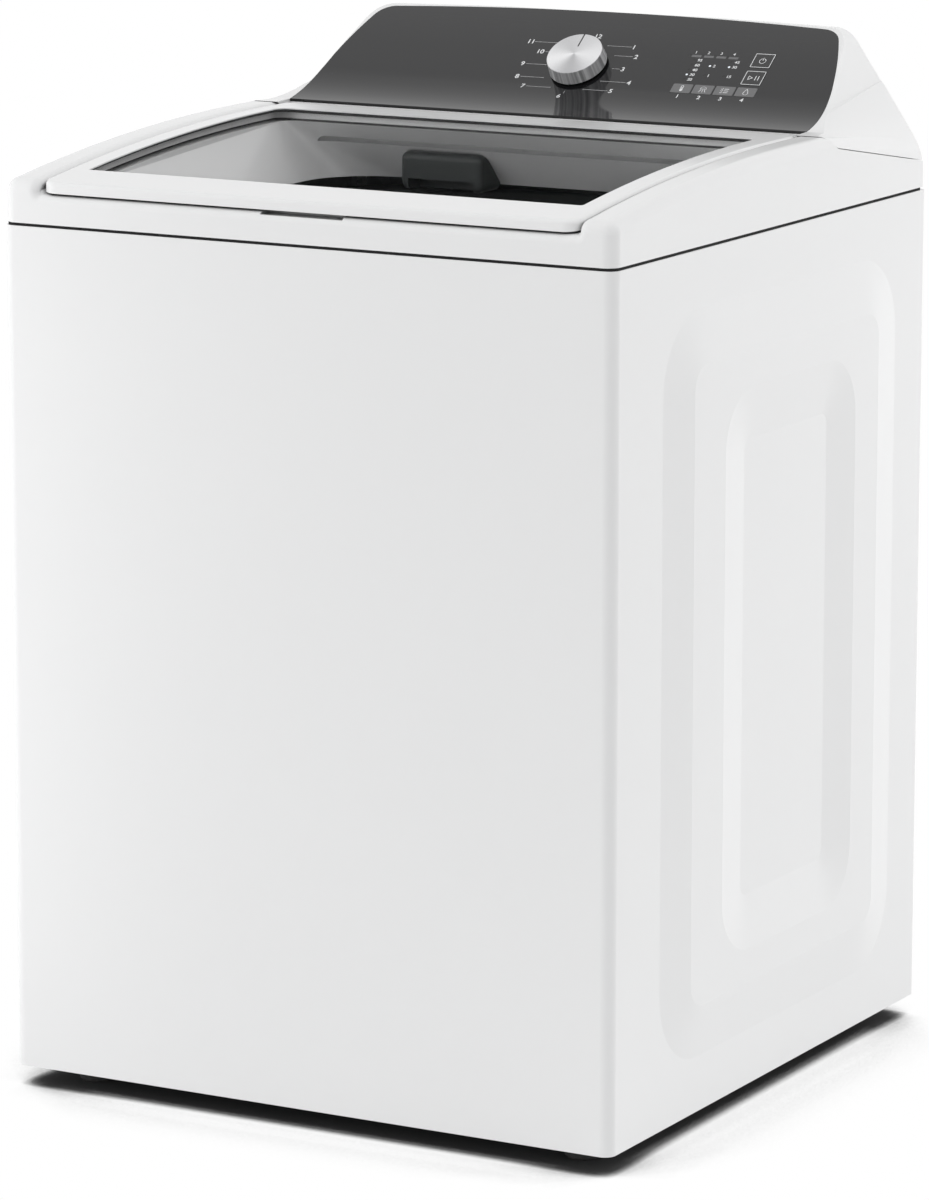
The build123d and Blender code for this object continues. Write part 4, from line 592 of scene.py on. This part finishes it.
# ---------------------------------------------------------------- Grey mouldings
# The inlet valve, drain pipe, pump, impeller, lid strike and the basket's balance ring are moulded in
# mid grey plastic with a dull, slightly mottled skin.
grey_moulding, place = new_finish("grey_moulding")
mottle = place.grain(46, 4.0)
end_finish(place, {
    "Base Color": mottle.between((0.270, 0.278, 0.285, 1), (0.345, 0.352, 0.358, 1)),
    "Roughness": 0.36 + mottle * 0.16,
    "Normal": place.grain(1100, 2.0).relief(0.12, 0.0002),
})
dress(grey_moulding, "water_inlet_valve", "drain_pipe", "drain_pump", "pump_impeller", "lid_strike",
      "balance_ring")


# ---------------------------------------------------------------- Inlet nozzle and tub ring
# Dark green grey plastic with a fine spark-eroded grain: the nozzle that pours water into the basket,
# and the ring that closes the outer tub's rim.
dark_moulding, place = new_finish("dark_moulding")
grain = place.grain(1500, 3.0)
end_finish(place, {
    "Base Color": place.grain(20).between((0.036, 0.041, 0.041, 1), (0.050, 0.056, 0.056, 1)),
    "Roughness": 0.34 + grain * 0.14,
    "Normal": grain.relief(0.18, 0.0002),
})
dress(dark_moulding, "inlet_nozzle", "tub_ring")


# ---------------------------------------------------------------- Outer tub and agitator
# Thick polypropylene in its natural milky white. The tub is ribbed on the outside; the wash plate and
# the agitator's post are smoother and a little polished by laundry.
tub_plastic, place = new_finish("tub_plastic")
milk = place.grain(9, 4.0)
end_finish(place, {
    "Base Color": milk.between((0.66, 0.67, 0.67, 1), (0.75, 0.76, 0.76, 1)),
    "Roughness": 0.34 + place.grain(60, 3.0) * 0.18,
    "Normal": place.grain(300, 3.0).relief(0.10, 0.0004),
})
dress(tub_plastic, "outer_tub", "wash_plate", "agitator_post")


# ---------------------------------------------------------------- Wash basket
# A drum of thin stainless sheet, punched with rows of holes and rolled into its floor. The sheet was
# brushed round the drum before it was punched.
stainless, place = new_finish("brushed_stainless")
brush = place.grain(36, 4.0, (1, 1, 26))
end_finish(place, {
    "Base Color": brush.between((0.52, 0.52, 0.53, 1), (0.72, 0.72, 0.72, 1)),
    "Metallic": 1.0,
    "Roughness": 0.20 + brush * 0.20,
    "Normal": brush.relief(0.12, 0.0003),
})
dress(stainless, "wash_basket")


# ---------------------------------------------------------------- Castings
# The gearcase, the basket's hub, the motor's shell and the driven pulley are pressure die castings in
# zinc and aluminium alloy, dull grey with a grainy skin.
casting, place = new_finish("zinc_casting")
skin = place.grain(240, 5.0)
end_finish(place, {
    "Base Color": skin.between((0.34, 0.35, 0.36, 1), (0.54, 0.55, 0.56, 1)),
    "Metallic": 0.8,
    "Roughness": 0.44 + skin * 0.20,
    "Normal": skin.relief(0.35, 0.0004),
})
dress(casting, "gearcase_housing", "basket_hub", "motor", "drive_pulley")


# ---------------------------------------------------------------- Drive belt
# A flat belt of black rubber over cords, with lengthwise ribs that run in the pulleys' grooves.
belt_rubber, place = new_finish("belt_rubber")
ribs_along = 2800
rib = (place.along((0, 0, 1)) * ribs_along).maths("SINE")
end_finish(place, {
    "Base Color": place.grain(120, 4.0).between((0.014, 0.014, 0.014, 1), (0.034, 0.034, 0.034, 1)),
    "Roughness": 0.56 + place.grain(200) * 0.16,
    "Normal": rib.relief(0.5, 0.0006),
})
dress(belt_rubber, "drive_belt")


# ---------------------------------------------------------------- Floor, light and camera
# A plain pale studio floor under soft light. The light comes from all round, a little stronger from the
# front and the right, with one tall soft lamp at the front left and one at the rear right. To the eye
# the floor is white, and it keeps the soft dark shade under the machine and along its lower edges.
def in_sight(shader):
    """1 for what the camera sees, also in a mirror or through glass, and 0 for light that falls."""
    camera_ray, glossy_ray, glass_ray = (shader.add("ShaderNodeLightPath", out=f"Is {kind} Ray")
                                         for kind in ("Camera", "Glossy", "Transmission"))
    return camera_ray.maths("MAXIMUM", glossy_ray).maths("MAXIMUM", glass_ray)


floor_paint, place = new_finish("studio_floor")
plain = place.add("ShaderNodeBsdfDiffuse", None, {"Color": (0.80, 0.80, 0.80, 1)})
shade = place.add("ShaderNodeBsdfDiffuse", None, {"Color": (0.10, 0.10, 0.10, 1)})
glow = place.add("ShaderNodeEmission", None, {"Color": (1, 1, 1, 1), "Strength": 1.0})
beside = place.add("ShaderNodeAmbientOcclusion", {"samples": 16}, {"Distance": 0.2}, "AO")
beneath = place.add("ShaderNodeAmbientOcclusion", {"samples": 16}, {"Distance": 1.2}, "AO")
open_sky = ((beside - 0.47) * 5.5).maths("MINIMUM", (beneath - 0.25) * 6)
bright = place.add("ShaderNodeMixShader", None, {0: open_sky, 1: shade, 2: glow})
shown = place.add("ShaderNodeMixShader", None, {0: in_sight(place), 1: plain, 2: bright})
place.add("ShaderNodeOutputMaterial", None, {"Surface": shown})

floor_mesh = bpy.data.meshes.new("studio_floor")
reach = 40
corners = [(-reach, -reach, 0), (reach, -reach, 0), (reach, reach, 0), (-reach, reach, 0)]
floor_mesh.from_pydata(corners, [], [(0, 1, 2, 3)])
floor_mesh.materials.append(floor_paint)
floor = bpy.data.objects.new("studio_floor", floor_mesh)
bpy.context.collection.objects.link(floor)

world = bpy.data.worlds.new("studio")
bpy.context.scene.world = world
world.use_nodes = True
world.node_tree.nodes.clear()
sky = Wire(world.node_tree)
toward = sky.add("ShaderNodeTexCoord", out="Generated")
even_level = 0.735
slant = toward.along((0.23, -0.285, 0.15)) + toward.along((1, 0, 0)) * toward.along((0, 2.0, 0))
level = (slant + even_level).maths("MAXIMUM", 0.0)
light = sky.add("ShaderNodeBackground", None, {"Color": (1, 1, 1, 1), "Strength": level})
backdrop = sky.add("ShaderNodeBackground", None, {"Color": (1, 1, 1, 1), "Strength": 1.0})
around = sky.add("ShaderNodeMixShader", None, {0: in_sight(sky), 1: light, 2: backdrop})
sky.add("ShaderNodeOutputWorld", None, {"Surface": around})

for name, spot, target, size, power in (
        ("front_left_lamp", (-0.68, -0.62, 0.52), (-0.3, -0.36, 0.52), (0.3, 1.3), 1.3),
        ("rear_right_lamp", (1.15, 3.4, 0.75), (0.35, 0.1, 0.5), (0.7, 1.5), 42)):
    lamp = bpy.data.lights.new(name, "AREA")
    lamp.shape = "RECTANGLE"
    lamp.size, lamp.size_y = size
    lamp.energy = power
    holder = bpy.data.objects.new(name, lamp)
    bpy.context.collection.objects.link(holder)
    holder.location = spot
    holder.rotation_euler = (Vector(target) - Vector(spot)).to_track_quat("-Z", "Y").to_euler()
    holder.visible_camera = False
    holder.visible_glossy = False
    holder.visible_transmission = False

lens = bpy.data.cameras.new("studio_camera")
lens.lens = 175.27
lens.sensor_width = 36
lens.clip_end = 200
camera = bpy.data.objects.new("studio_camera", lens)
bpy.context.collection.objects.link(camera)
camera.location = (2.9152, -5.2535, 1.6998)
downward, turned = 11.42, 29.13
camera.rotation_euler = (radians(90 - downward), 0, radians(turned))
bpy.context.scene.camera = camera
bpy.context.scene.view_settings.view_transform = "Standard"
